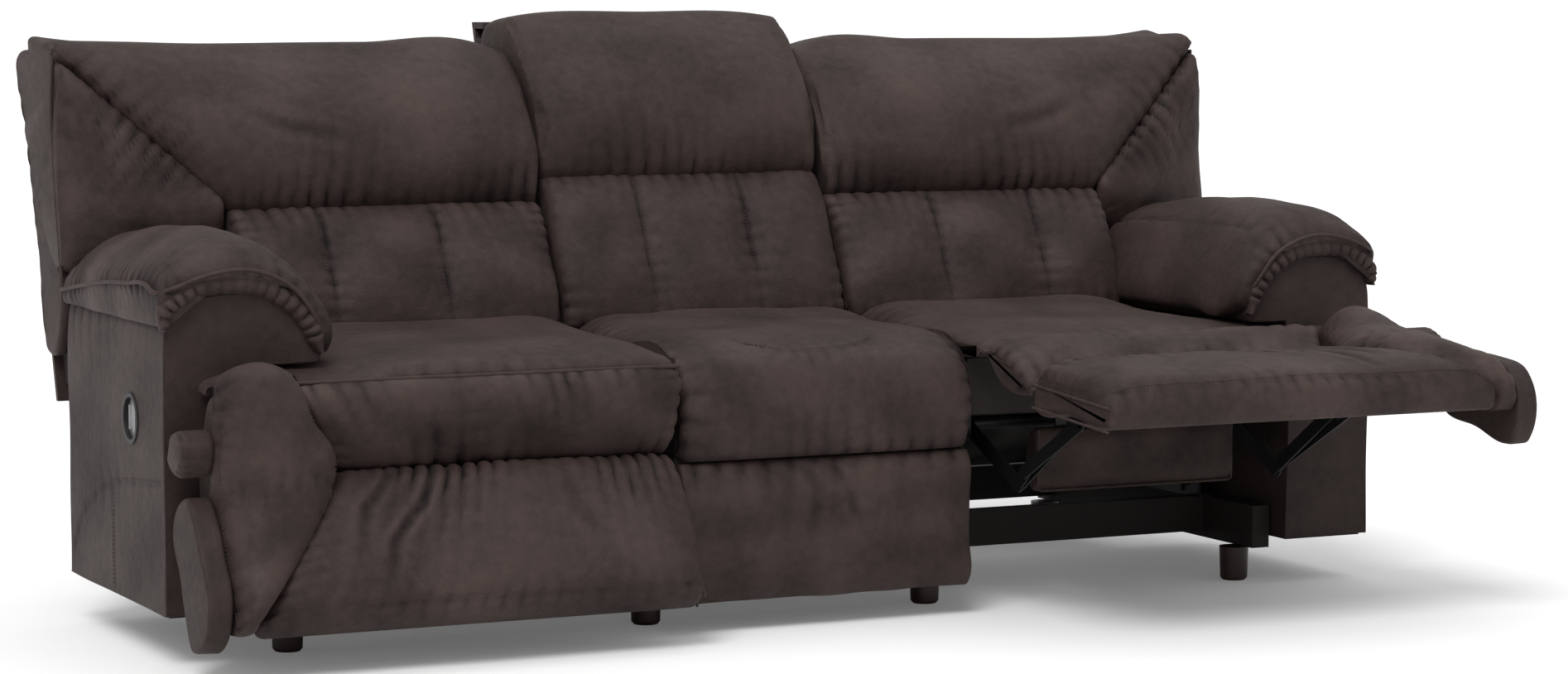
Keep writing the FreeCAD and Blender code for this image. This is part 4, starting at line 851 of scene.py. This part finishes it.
panel_keys = [(-49, 291), (-49, 56), (-54, 54), (-66, 54), (-74, 64), (-76, 170), (-74, 280),
              (-64, 291)]
panel = carried((-277, 277), [panel_keys] * 2, (14, 2, 3, 4, 16, 16, 5, 4), -277, 277, 8, 9)
panel_face = np.clip((-58 - panel[..., 1]) / 8, 0, 1)
hem = np.array([(-270, -75, 78), (0, -76, 78), (270, -75, 78)], float)
panel_fine = (gathers(panel, [(-277, -74, 290), (277, -74, 290)], 42, 5.0, 60, 113)
              + groove(panel, hem, 4, 1.6) + waves(panel, 130, 1.4, 115)
              + crease(panel, [(10, -76, 285), (30, -76, 240), (60, -76, 180)], 9, 4.0)
              + crease(panel, [(-60, -76, 288), (-20, -76, 240), (-30, -76, 150)], 11, 3.0))
panel = panel + outward(panel) * (panel_fine * panel_face)[..., None]
cushion("centre_front", panel, panel_fine, on_base, "base", ("centre_lower_panel",))
stitches("centre_hem", hem + (0, -1, 6), on_base, "base", (0, -1, 0))
stitches("centre_top_stitch", centre_seam + (0, 7, 0.6), on_base, "base", (0, 0, 1))
print("centre", centre.shape)

# %% [markdown]
# The bridge is the roll between seat and ottoman. It is sewn to the nose of the seat, so it
# turns about that line, and a fuller wing carries it in front of the arm. Drawn along and out
# from its hinge, the same roll serves both sides, one shut and one out.

# %% Bridges
SHUT = {"left": True, "right": False}
BRIDGE_ANGLE = {True: math.radians(110.9), False: math.radians(18.1)}
OTTOMAN_ANGLE = {True: math.radians(56.0), False: math.radians(4.0)}
BRIDGE_COUNTS = (4, 10, 14, 6, 5, 5, 10, 8, 6)


def bridge_keys(crown, start, stop):
    """Section (along, out) of the bridge roll from its hinge seam over the outer face."""
    return [(start - 4, 3), (start + 3, 19 + 0.45 * crown), (0.47 * stop, 33 + crown),
            (stop - 21, 18 + 0.35 * crown), (stop - 2, 4), (stop, -6), (stop - 14, -16),
            (0.55 * stop, -33), (start + 20, -15)]


def roll(rows, radius, seed, seams):
    """Stretch of the bridge from its rows, filled and gathered at both long seams."""
    low, high = rows[0][0], rows[-1][0]
    grid = carried([r[0] for r in rows], [bridge_keys(*r[1:]) for r in rows], BRIDGE_COUNTS,
                   low, high, radius, 8)
    face = np.clip((grid[..., 2] - 2) / 10, 0, 1)
    edge = np.minimum(grid[..., 0] - low, high - grid[..., 0])
    grid = filled(grid, np.where((face > 0.5) & (edge > 20), 0.3, 1.0), 9.0)
    fine = (gathers(grid, [(low, 6, 2), (high, 6, 2)], 31, 5.0, 44, seed)
            + gathers(grid, [(low, 166, 2), (high, 166, 2)], 34, 6.5, 60, seed + 1)
            + gathers(grid, [(low, 10, 6), (low, 80, 20), (low, 160, 6)], 30, 3.5, 30, seed + 2)
            + gathers(grid, [(high, 10, 6), (high, 80, 20), (high, 160, 6)], 30, 3.5, 34, seed + 3)
            + waves(grid, 120, 1.8, seed + 4))
    for line in seams:
        fine += groove(grid, line, 5, 3.4) + gathers(grid, line, 30, 2.0, 24, seed + 6)
    return grid + outward(grid) * (fine * face)[..., None], fine


middle_seam = [(630, 4, 8), (630, 40, 30), (630, 90, 36), (630, 140, 26), (630, 166, 4)]
bridge, bridge_fine = roll(((287, -4, 9, 160), (325, 6, 5, 167), (480, 10, 4, 168),
                            (628, 6, 4, 168), (760, 10, 4, 168), (840, 6, 5, 167),
                            (874, -2, 8, 163)), 14, 121, (middle_seam,))
bridge[..., 0] = 287 + (bridge[..., 0] - 287) * (964 - 80 * np.clip(bridge[..., 1] / 165, 0, 1)
                                                 - 287) / (874 - 287)
curl_keys = [(66, 24), (74, 42), (104, 50), (136, 42), (146, 24), (147, -10), (140, -24),
             (116, -26), (92, -23), (80, -8)]
CURL_COUNTS = (5, 6, 6, 5, 6, 5, 5, 5, 5, 8)
curl = carried((1097, 1126, 1154), [curl_keys] * 3, CURL_COUNTS, 1097, 1154, 11, 5)
curl_fine = (gathers(curl, [(1150, 70, 30), (1150, 146, 30)], 15, 3.0, 24, 141)
             + gathers(curl, [(1102, 80, 46), (1150, 118, 48)], 18, 2.0, 20, 143))
curl = curl + outward(curl) * curl_fine[..., None]
for side in ("left", "right"):
    angle = BRIDGE_ANGLE[SHUT[side]]
    hinge = hinges[side + "_footrest"]

    def on_bridge(points, hinge=hinge, angle=angle):
        """Bridge measures to the frame."""
        return on_link(points, hinge, angle)

    cushion(side + "_bridge_roll", mirrored(bridge, side), bridge_fine, on_bridge,
            side + "_bridge", (side + "_bridge_pad",))
    tube(side + "_nose_welt", mirrored([(288, 0, 0), (690, 0, 0), (1090, 0, 0)], side), 3.8,
         on_bridge, side + "_seat")
    tube(side + "_hinge_welt", mirrored([(290, 173.5, 0), (690, 173.5, 0), (1096, 173.5, 0)], side),
         7.0, on_bridge, side + "_bridge")
    cushion(side + "_curl", mirrored(curl, side), curl_fine, on_bridge, side + "_bridge",
            (side + "_ear_block",))
print("bridges", bridge.shape)

# %% [markdown]
# The ottoman is a boarded box with a crowned pad on its outer face. A slanted seam starts
# its wing, the pad is gathered at the hinge and at the hem, and piping closes the boxing. A
# deeper block at its outer end fills the corner by the arm.

# %% Ottomans
OTTOMAN_COUNTS = (8, 6, 6, 10, 8, 8, 7, 6, 5, 5, 4, 12, 12)


def ottoman_keys(crown, draw):
    """Section (along, out) of the ottoman pad."""
    return [(11, -24), (8, 8), (6 + draw, 34 + 0.6 * crown), (26 + draw, 52 + crown),
            (86, 62 + crown), (145, 65 + crown), (205, 61 + crown), (246 - draw, 49 + crown),
            (267 - draw, 28), (274 - draw, 4), (268, -19), (254, -23), (130, -22)]


ottoman_rows = ((287, -14, 4), (332, 0, 1), (480, 4, 0), (640, 5, 0), (820, 2, 0), (930, 4, 0),
                (1010, 4, 0), (1075, -4, 1), (1100, -18, 3))
ottoman = carried([r[0] for r in ottoman_rows], [ottoman_keys(*r[1:]) for r in ottoman_rows],
                  OTTOMAN_COUNTS, 287, 1100, 18, 8.5)
face = np.clip((ottoman[..., 2] - 16) / 12, 0, 1)
slant_seam = np.array([(1100, 14, 28), (1100, 60, 52), (1100, 140, 58), (1100, 215, 54),
                       (1100, 262, 34)], float)
hem_line = np.array([(290, 262, 40), (600, 262, 44), (880, 262, 44), (1125, 260, 30)], float)
near, _ = near_line(ottoman, slant_seam)
edge = np.minimum(ottoman[..., 0] - 287, 1100 - ottoman[..., 0])
ottoman = filled(ottoman, np.where((face > 0.5) & (near > 18) & (edge > 24), 0.3, 1.0), 9.0)
ottoman_fine = (groove(ottoman, slant_seam, 6, 6.0) + gathers(ottoman, slant_seam, 28, 3.5, 40, 151)
                + gathers(ottoman, [(287, 18, 30), (1128, 18, 30)], 36, 7.5, 74, 153)
                + gathers(ottoman, hem_line, 38, 3.2, 40, 155)
                + groove(ottoman, hem_line - (0, 8, 0), 4, 1.6)
                + gathers(ottoman, [(287, 20, 30), (287, 140, 44), (287, 262, 26)], 34, 3.5, 36, 157)
                + crease(ottoman, [(860, 16, 50), (872, 90, 60), (905, 150, 62), (890, 215, 60)],
                         12, 6.5)
                + crease(ottoman, [(950, 16, 52), (985, 90, 62), (960, 180, 60)], 13, 4.5)
                + crease(ottoman, [(560, 30, 52), (540, 110, 62), (470, 180, 60)], 14, 2.6)
                + waves(ottoman, 200, 2.0, 161))
ottoman = ottoman + outward(ottoman) * (ottoman_fine * face)[..., None]
mitre_x = 902 + 158 * np.clip((ottoman[..., 1] - 14) / 248, 0, 1)
ottoman[..., 0] = 287 + (ottoman[..., 0] - 287) * (mitre_x - 287) / (1100 - 287)
block_keys = [(38, 30), (150, 52), (240, 40), (263, 16), (264, -70), (252, -86), (236, -89),
              (140, -73), (50, -59), (37, -44)]
BLOCK_COUNTS = (10, 10, 5, 8, 4, 3, 10, 10, 4, 8)
block = carried((1100, 1142), [block_keys] * 2, BLOCK_COUNTS, 1100, 1142, 7, 5)
block_fine = waves(block, 70, 0.8, 171)
block = block + outward(block) * block_fine[..., None]
for side in ("left", "right"):
    angle = OTTOMAN_ANGLE[SHUT[side]]
    hinge = hinges[side + "_ottoman_hinge"]

    def on_ottoman(points, hinge=hinge, angle=angle):
        """Ottoman measures to the frame."""
        return on_link(points, hinge, angle)

    body = side + "_ottoman"
    clear = 0.0 if SHUT[side] else 9.0
    shaped = ottoman.copy()
    shaped[..., 1] += (clear * np.exp(-(shaped[..., 1] / 28) ** 2)
                       * np.clip(shaped[..., 2] / 20, 0, 1))
    cushion(side + "_ottoman_top", mirrored(shaped, side), ottoman_fine, on_ottoman, body,
            (side + "_ottoman_pad", side + "_ottoman_board"))
    cushion(side + "_corner_block", mirrored(block, side), block_fine, on_ottoman, body,
            (side + "_side_block",), slot="leather_panel")
    for name, out in (("upper", 15.0), ("lower", -24.0)):
        line = [(287, 266, out), (286, 140, out), (287, 14, out)]
        tube(side + "_piping_" + name, mirrored(line, side), 2.4, on_ottoman, body)
    hem_path = on_skin(ottoman, [(300, 250, 46), (600, 250, 52), (1010, 250, 50)])
    stitches(side + "_ottoman_hem", mirrored(hem_path, side), on_ottoman, body, (0, 0.3, 1))
print("ottomans", ottoman.shape)

# %% [markdown]
# In front of each arm the footrest wears one long pillow that runs from the seat's nose over
# the bridge and down to the ottoman's tip. It is one cover across the ottoman's hinge, shaped
# for the pose of its side and joined to no moving part. Its inner edge is the slanted seam.
# Between its front curve and its back curve it is full in the middle and thin at both long
# edges, by the power of a sine.

# %% Pillows in front of the arms
PILLOW = {
    True: {"front": [(-100, 466), (-116, 498), (-148, 486), (-170, 430), (-174, 350), (-184, 270),
                     (-206, 190), (-234, 120), (-226, 92)],
           "back": [(-98, 453), (-82, 441), (-60, 410), (-44, 370), (-26, 312), (-32, 262),
                    (-70, 200), (-118, 130), (-168, 76)],
           "start": (-120, 345), "end": (-146, 255)},
    False: {"front": [(-97, 474), (-112, 508), (-160, 514), (-228, 501), (-290, 494), (-362, 486),
                      (-440, 472), (-518, 442), (-541, 402)],
            "back": [(-98, 452), (-115, 442), (-165, 424), (-215, 408), (-262, 392), (-330, 378),
                     (-410, 372), (-480, 367), (-520, 368)],
            "start": (-225, 450), "end": (-305, 445)},
}
INNER_X = (968, 966, 955, 934, 896, 914, 968, 1036, 1064)
OUTER_X = (1092, 1098, 1099, 1099, 1099, 1099, 1099, 1099, 1096)
PILLOW_COUNTS = (8, 8, 8, 9, 9, 9, 9, 6, 10, 8, 8, 8, 8, 8, 6, 4, 4, 4)


def pillow(shut):
    """Pillow of one side in the pose it is packed in: shares of the way from its inner to its
    outer edge, with the front curve raised from the back curve by a sine to the power 0.45."""
    shape = PILLOW[shut]
    front = np.array(shape["front"], float)
    back = np.array(shape["back"], float)
    share = 0.5 - 0.5 * np.cos(np.linspace(0, math.pi, 40))
    full = 0.42 + 0.58 * np.sin(math.pi * share) ** 0.45
    top = back + full[:, None, None] * (front - back)
    inner, outer_x = (np.array(x, float) for x in (INNER_X, OUTER_X))
    x = inner + share[:, None] * (outer_x - inner)
    upper = np.concatenate([x[..., None], top], axis=-1)
    lower = np.concatenate([x[..., None], np.broadcast_to(back, top.shape)], axis=-1)
    ring = np.concatenate([upper, lower[:, ::-1]], axis=1)
    grid = closed(ring, PILLOW_COUNTS)
    line = np.column_stack([inner, back + 0.6 * (front - back)])
    far = np.column_stack([outer_x, back + 0.6 * (front - back)])
    last = np.array([(x, *front[-2]) for x in (1036, 1099)])
    skin = np.zeros(grid.shape[:2])
    skin[:, :sum(PILLOW_COUNTS[:8])] = 1
    edge = np.minimum(share, 1 - share)[:, None] > 0.14
    grid = filled(grid, np.where((skin > 0.5) & edge, 0.3, 1.0), 10.0)
    middle = np.array([(x, *(0.5 * (front[4] + front[5]))) for x in (890, 1000, 1099)])
    slack = 0.55 if shut else 1.15
    fine = slack * (gathers(grid, line, 27, 5.0, 70, 201) + gathers(grid, far, 30, 4.2, 50, 203)
                    + gathers(grid, last, 24, 3.0, 34, 205) + gathers(grid, middle, 30, 3.4, 60, 207)
                    + waves(grid, 120, 2.6, 209)) * skin
    grid = grid + outward(grid) * fine[..., None]
    return grid, fine, on_skin(grid, line[2:] + (9, 0, 0)), on_skin(grid, far[2:] - (9, 0, 0))


for side in ("left", "right"):
    grid, fine, *seams = pillow(SHUT[side])
    rows, columns = grid.shape[:2]
    piece = mesh_piece(side + "_wing_pillow", on_base(mirrored(grid, side)).reshape(-1, 3),
                       faces_of(rows, columns).tolist() + caps_of(rows, columns), fine)
    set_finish(piece, "leather")
    cover = [piece]
    for name, path in zip(("inner", "outer"), seams):
        cover.append(stitches(side + "_pillow_stitch_" + name, mirrored(path, side), on_base, None,
                              (0, -0.6, 0.8)))
    for part in cover:
        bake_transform(part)
print("pillows", grid.shape)

# %% [markdown]
# A thin black lining is stapled to the rear of the base, under the backs, so nothing shows
# through below the seats.

# %% Rear lining
LINING_HALF, LINING_Y, LINING_FOOT, LINING_TOP = 966.0, 803.0, 142.0, 366.0
LINING_GRID = (90, 16)
across, up = np.meshgrid(np.linspace(-LINING_HALF, LINING_HALF, LINING_GRID[0]),
                         np.linspace(LINING_FOOT, LINING_TOP, LINING_GRID[1]), indexing="ij")
lining = np.stack([across, np.full_like(up, LINING_Y), up], axis=-1)
lining[..., 1] += waves(lining, 260, 1.5, 221)
index = np.arange(across.size).reshape(LINING_GRID)
sheet_faces = np.stack([index[:-1, :-1], index[1:, :-1], index[1:, 1:], index[:-1, 1:]], axis=-1)
piece = mesh_piece("rear_lining", on_base(lining).reshape(-1, 3),
                   sheet_faces.reshape(-1, 4).tolist())
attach(piece, "base")
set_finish(piece, "webbing")

# %% [markdown]
# A padded apron hangs between the links under each reclining seat, edged with piping. Only
# the open side shows it.

# %% Lower aprons
apron_keys = [(22, 199), (22, 309), (18, 311), (8, 309), (2, 296), (1, 254), (2, 212), (8, 200),
              (18, 197)]
apron = carried((450, 860), [apron_keys] * 2, (8, 3, 3, 5, 8, 8, 5, 3, 3), 450, 860, 8, 9)
apron_fine = (waves(apron, 120, 1.2, 181)
              + gathers(apron, [(450, 2, 309), (860, 2, 309)], 36, 2.0, 30, 183))
apron = apron + outward(apron) * (apron_fine * np.clip((12 - apron[..., 1]) / 6, 0, 1))[..., None]
for side in ("left", "right"):
    cushion(side + "_apron", mirrored(apron, side), apron_fine, on_base, side + "_seat",
            (side + "_lower_apron",))
    edge_line = [(454, 3, 308), (454, 3, 202), (460, 3, 199), (850, 3, 199), (856, 3, 202),
                 (856, 3, 308)]
    tube(side + "_apron_piping", mirrored(edge_line, side), 2.4, on_base, side + "_seat",
         straight=True)
print("aprons", apron.shape)

# %% [markdown]
# The cover is a soft, napped leather in dark chocolate. Its colour is paler on ridges as painted
# highlight and nearly black in the folds as painted shade, both set by the height of the fine folds.
# Its grain, cloudy colour and this painted ridge highlight and crease shade are one group that the
# two hides share. The group puts out colour, roughness and normal only.

# %% Shared leather grain
grain = bpy.data.node_groups.new("hide_grain", "ShaderNodeTree")
for name, kind, low in (("Deep", "NodeSocketColor", None), ("Worn", "NodeSocketColor", None),
                        ("Bump", "NodeSocketFloat", 0.5)):
    socket = grain.interface.new_socket(name, in_out="INPUT", socket_type=kind)
    if low is not None:
        socket.default_value = low
for name, kind in (("Colour", "NodeSocketColor"), ("Roughness", "NodeSocketFloat"),
                   ("Normal", "NodeSocketVector")):
    grain.interface.new_socket(name, in_out="OUTPUT", socket_type=kind)


def node(tree, kind, inputs=None, **values):
    """Node of a tree with its settings, and links or values for its inputs."""
    made_node = tree.nodes.new(kind)
    for key, value in values.items():
        setattr(made_node, key, value)
    for key, value in (inputs or {}).items():
        if isinstance(value, bpy.types.NodeSocket):
            tree.links.new(value, made_node.inputs[key])
        else:
            made_node.inputs[key].default_value = value
    return made_node


given = node(grain, "NodeGroupInput")
where = node(grain, "ShaderNodeTexCoord").outputs["Object"]
cloud = node(grain, "ShaderNodeTexNoise", {"Vector": where, "Scale": 9.0, "Detail": 5.0,
                                          "Roughness": 0.6})
nap = node(grain, "ShaderNodeTexNoise", {"Vector": where, "Scale": 55.0, "Detail": 4.0,
                                        "Roughness": 0.65})
cells = node(grain, "ShaderNodeTexVoronoi", {"Vector": where, "Scale": 420.0}, feature="SMOOTH_F1")
pores = node(grain, "ShaderNodeTexNoise", {"Vector": where, "Scale": 900.0, "Detail": 2.0})
rise = node(grain, "ShaderNodeAttribute", attribute_name="rise").outputs["Fac"]
# Painted shade and highlight: the height of the fine folds darkens the colour in creases and lightens it
# on ridges.
fold = node(grain, "ShaderNodeMapRange", {"Value": rise, "From Min": -5.0, "From Max": 3.0,
                                         "To Min": -0.4, "To Max": 0.3})
soft_cloud = node(grain, "ShaderNodeMapRange", {"Value": cloud.outputs["Fac"], "From Min": 0.3,
                                               "From Max": 0.7, "To Min": 0.4, "To Max": 0.62})
soft_nap = node(grain, "ShaderNodeMapRange", {"Value": nap.outputs["Fac"], "From Min": 0.3,
                                             "From Max": 0.7, "To Min": -0.12, "To Max": 0.12})
first = node(grain, "ShaderNodeMath", {0: soft_cloud.outputs["Result"],
                                       1: soft_nap.outputs["Result"]}, operation="ADD")
second = node(grain, "ShaderNodeMath", {0: first.outputs[0], 1: fold.outputs["Result"]},
              operation="ADD", use_clamp=True)
# The colour runs from the dark tone, which also paints the shade in creases, to the pale tone, which
# also paints the highlight on ridges.
tint = node(grain, "ShaderNodeMix", {"Factor": second.outputs[0], 6: given.outputs["Deep"],
                                     7: given.outputs["Worn"]}, data_type="RGBA")
rough = node(grain, "ShaderNodeMapRange", {"Value": second.outputs[0], "To Min": 0.72,
                                          "To Max": 0.5})
height = node(grain, "ShaderNodeMath", {0: cells.outputs["Distance"], 1: pores.outputs["Fac"]},
              operation="ADD")
bump = node(grain, "ShaderNodeBump", {"Height": height.outputs[0], "Strength": given.outputs["Bump"],
                                     "Distance": 0.0012})
swell = node(grain, "ShaderNodeBump", {"Height": nap.outputs["Fac"], "Strength": 0.35,
                                      "Distance": 0.004, "Normal": bump.outputs["Normal"]})
node(grain, "NodeGroupOutput", {"Colour": tint.outputs[2], "Roughness": rough.outputs["Result"],
                                "Normal": swell.outputs["Normal"]})
print("leather group ready")

# %% [markdown]
# The materials: two hides, stained wood for the feet, plain wood for the frame, black
# lacquered steel, the satin lever, the moulded cup, and woven elastic. Each keeps its own
# Principled shader and takes only patterns from the groups.

# %% Materials


def material(name):
    """Empty material with a Principled shader, its tree and the shader."""
    made_material = bpy.data.materials.new(name)
    made_material.use_nodes = True
    tree = made_material.node_tree
    return made_material, tree, tree.nodes["Principled BSDF"]


def hide(name, deep, pale_tone_and_highlight, bump_strength):
    """Napped leather of the shared grain, with a soft sheen."""
    made_material, tree, shader = material(name)
    group = node(tree, "ShaderNodeGroup", node_tree=grain)
    group.inputs["Deep"].default_value = (*deep, 1)
    group.inputs["Worn"].default_value = (*pale_tone_and_highlight, 1)
    group.inputs["Bump"].default_value = bump_strength
    tree.links.new(group.outputs["Colour"], shader.inputs["Base Color"])
    tree.links.new(group.outputs["Roughness"], shader.inputs["Roughness"])
    tree.links.new(group.outputs["Normal"], shader.inputs["Normal"])
    shader.inputs["Specular IOR Level"].default_value = 0.2
    shader.inputs["Sheen Weight"].default_value = 0.025
    shader.inputs["Sheen Roughness"].default_value = 0.45
    shader.inputs["Sheen Tint"].default_value = (0.9, 0.8, 0.76, 1)
    return made_material


def wood(name, dark, light, scale, roughness):
    """Timber: a noise stretched along the grain, between two browns."""
    made_material, tree, shader = material(name)
    spot = node(tree, "ShaderNodeTexCoord").outputs["Object"]
    long = node(tree, "ShaderNodeMapping", {"Vector": spot, "Scale": (1.0, 1.0, 0.12)})
    rings = node(tree, "ShaderNodeTexNoise", {"Vector": long.outputs[0], "Scale": scale,
                                             "Detail": 6.0, "Distortion": 0.6})
    tone = node(tree, "ShaderNodeMix", {"Factor": rings.outputs["Fac"], 6: (*dark, 1),
                                       7: (*light, 1)}, data_type="RGBA")
    ridge = node(tree, "ShaderNodeBump", {"Height": rings.outputs["Fac"], "Strength": 0.25,
                                         "Distance": 0.001})
    tree.links.new(tone.outputs[2], shader.inputs["Base Color"])
    tree.links.new(ridge.outputs["Normal"], shader.inputs["Normal"])
    shader.inputs["Roughness"].default_value = roughness
    return made_material


def coated(name, dark, light, scale, metal, roughness):
    """Lacquer, plastic or metal: a fine noise breaks its colour and roughness."""
    made_material, tree, shader = material(name)
    spot = node(tree, "ShaderNodeTexCoord").outputs["Object"]
    speck = node(tree, "ShaderNodeTexNoise", {"Vector": spot, "Scale": scale, "Detail": 4.0})
    tone = node(tree, "ShaderNodeMix", {"Factor": speck.outputs["Fac"], 6: (*dark, 1),
                                       7: (*light, 1)}, data_type="RGBA")
    matt = node(tree, "ShaderNodeMapRange", {"Value": speck.outputs["Fac"],
                                            "To Min": roughness - 0.08, "To Max": roughness + 0.1})
    skin = node(tree, "ShaderNodeBump", {"Height": speck.outputs["Fac"], "Strength": 0.15,
                                        "Distance": 0.0006})
    tree.links.new(tone.outputs[2], shader.inputs["Base Color"])
    tree.links.new(matt.outputs["Result"], shader.inputs["Roughness"])
    tree.links.new(skin.outputs["Normal"], shader.inputs["Normal"])
    shader.inputs["Metallic"].default_value = metal
    return made_material


def woven(name):
    """Elastic webbing: two crossed bands of fine ribs."""
    made_material, tree, shader = material(name)
    spot = node(tree, "ShaderNodeTexCoord").outputs["Object"]
    ribs = node(tree, "ShaderNodeTexWave", {"Vector": spot, "Scale": 260.0}, bands_direction="X")
    picks = node(tree, "ShaderNodeTexWave", {"Vector": spot, "Scale": 340.0}, bands_direction="Y")
    both = node(tree, "ShaderNodeMath", {0: ribs.outputs["Fac"], 1: picks.outputs["Fac"]},
                operation="MULTIPLY")
    tone = node(tree, "ShaderNodeMix", {"Factor": both.outputs[0], 6: (0.03, 0.03, 0.03, 1),
                                       7: (0.12, 0.11, 0.1, 1)}, data_type="RGBA")
    raised = node(tree, "ShaderNodeBump", {"Height": both.outputs[0], "Strength": 0.4,
                                          "Distance": 0.0008})
    tree.links.new(tone.outputs[2], shader.inputs["Base Color"])
    tree.links.new(raised.outputs["Normal"], shader.inputs["Normal"])
    shader.inputs["Roughness"].default_value = 0.85
    return made_material


finishes = {
    # In each hide the first colour is the dark tone and the painted crease shade, the second the pale
    # tone and the painted ridge highlight.
    "leather": hide("leather", (0.0065, 0.0040, 0.0036), (0.070, 0.046, 0.041), 0.4),
    "leather_panel": hide("leather_panel", (0.0065, 0.0040, 0.0036), (0.056, 0.037, 0.033), 0.35),
    "frame_wood": wood("frame_wood", (0.006, 0.004, 0.0035), (0.02, 0.013, 0.01), 24.0, 0.8),
    "foot_wood": wood("foot_wood", (0.012, 0.006, 0.004), (0.05, 0.022, 0.014), 30.0, 0.38),
    "black_steel": coated("black_steel", (0.008, 0.008, 0.009), (0.022, 0.022, 0.024), 140.0, 0.6, 0.42),
    "lever_metal": coated("lever_metal", (0.22, 0.22, 0.23), (0.4, 0.4, 0.41), 90.0, 1.0, 0.35),
    "cup_plastic": coated("cup_plastic", (0.006, 0.006, 0.007), (0.016, 0.016, 0.017), 200.0, 0.0, 0.5),
    "webbing": woven("webbing"),
}
for piece in made.values():
    piece.data.materials.append(finishes[piece["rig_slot"]])
for name, cad in frame["nodes"].items():
    for index, held in enumerate(cad.material_slots):
        kind = held.material.name.split(".")[0] if held.material else "leather"
        match = next((key for key in sorted(finishes, key=len, reverse=True) if key in kind), None)
        held.material = finishes[match or "leather_panel"]
print("materials", sorted(finishes), "on", len(made), "pieces")

# %% [markdown]
# A pale floor runs past the horizon and keeps the shadow. The sky gives soft light from
# above, a low wide sun from the front left gives the slight modelling, and camera rays see
# plain white.

# %% Floor, light and camera
floor = bpy.data.meshes.new("floor")
floor.from_pydata([(-400, -400, 0), (400, -400, 0), (400, 400, 0), (-400, 400, 0)], [], [(0, 1, 2, 3)])
floor_piece = bpy.data.objects.new("floor", floor)
bpy.context.scene.collection.objects.link(floor_piece)
paper, tree, shader = material("floor_paper")
shader.inputs["Base Color"].default_value = (0.86, 0.86, 0.86, 1)
shader.inputs["Roughness"].default_value = 1.0
shader.inputs["Specular IOR Level"].default_value = 0.0
shader.inputs["Emission Color"].default_value = (1, 1, 1, 1)
seen = node(tree, "ShaderNodeLightPath").outputs["Is Camera Ray"]
glow = node(tree, "ShaderNodeMath", {0: seen, 1: 0.12}, operation="MULTIPLY")
tree.links.new(glow.outputs[0], shader.inputs["Emission Strength"])
floor.materials.append(paper)

world = bpy.data.worlds.new("sky")
bpy.context.scene.world = world
world.use_nodes = True
tree = world.node_tree
tree.nodes.clear()
ray = node(tree, "ShaderNodeLightPath")
way = node(tree, "ShaderNodeSeparateXYZ",
           {0: node(tree, "ShaderNodeTexCoord").outputs["Generated"]})
lift = node(tree, "ShaderNodeMapRange", {"Value": way.outputs["Z"], "From Min": -0.1,
                                        "From Max": 1.0, "To Min": 0.25, "To Max": 1.1})
power = node(tree, "ShaderNodeMix", {"Factor": ray.outputs["Is Camera Ray"],
                                     2: lift.outputs["Result"], 3: 1.0}, data_type="FLOAT")
sky = node(tree, "ShaderNodeBackground", {"Color": (1, 1, 1, 1), "Strength": power.outputs[0]})
node(tree, "ShaderNodeOutputWorld", {"Surface": sky.outputs[0]})

sun = bpy.data.lights.new("window", "SUN")
sun.energy = 1.5
sun.angle = math.radians(26)
sun_piece = bpy.data.objects.new("window", sun)
sun_piece.rotation_euler = (math.radians(36), math.radians(-14), math.radians(-24))
bpy.context.scene.collection.objects.link(sun_piece)

camera = bpy.data.cameras.new("camera")
camera.lens = 91.31
camera.sensor_width = 36.0
camera.clip_end = 1000.0
camera_piece = bpy.data.objects.new("camera", camera)
camera_piece.location = (-2.995, -6.128 + FRONT_Y, 1.097)
camera_piece.rotation_euler = (math.radians(90 - 5.07), 0, math.radians(-25.68))
bpy.context.scene.collection.objects.link(camera_piece)
bpy.context.scene.camera = camera_piece
bpy.context.scene.view_settings.view_transform = "Standard"
print("camera at", [round(v, 3) for v in camera_piece.location])
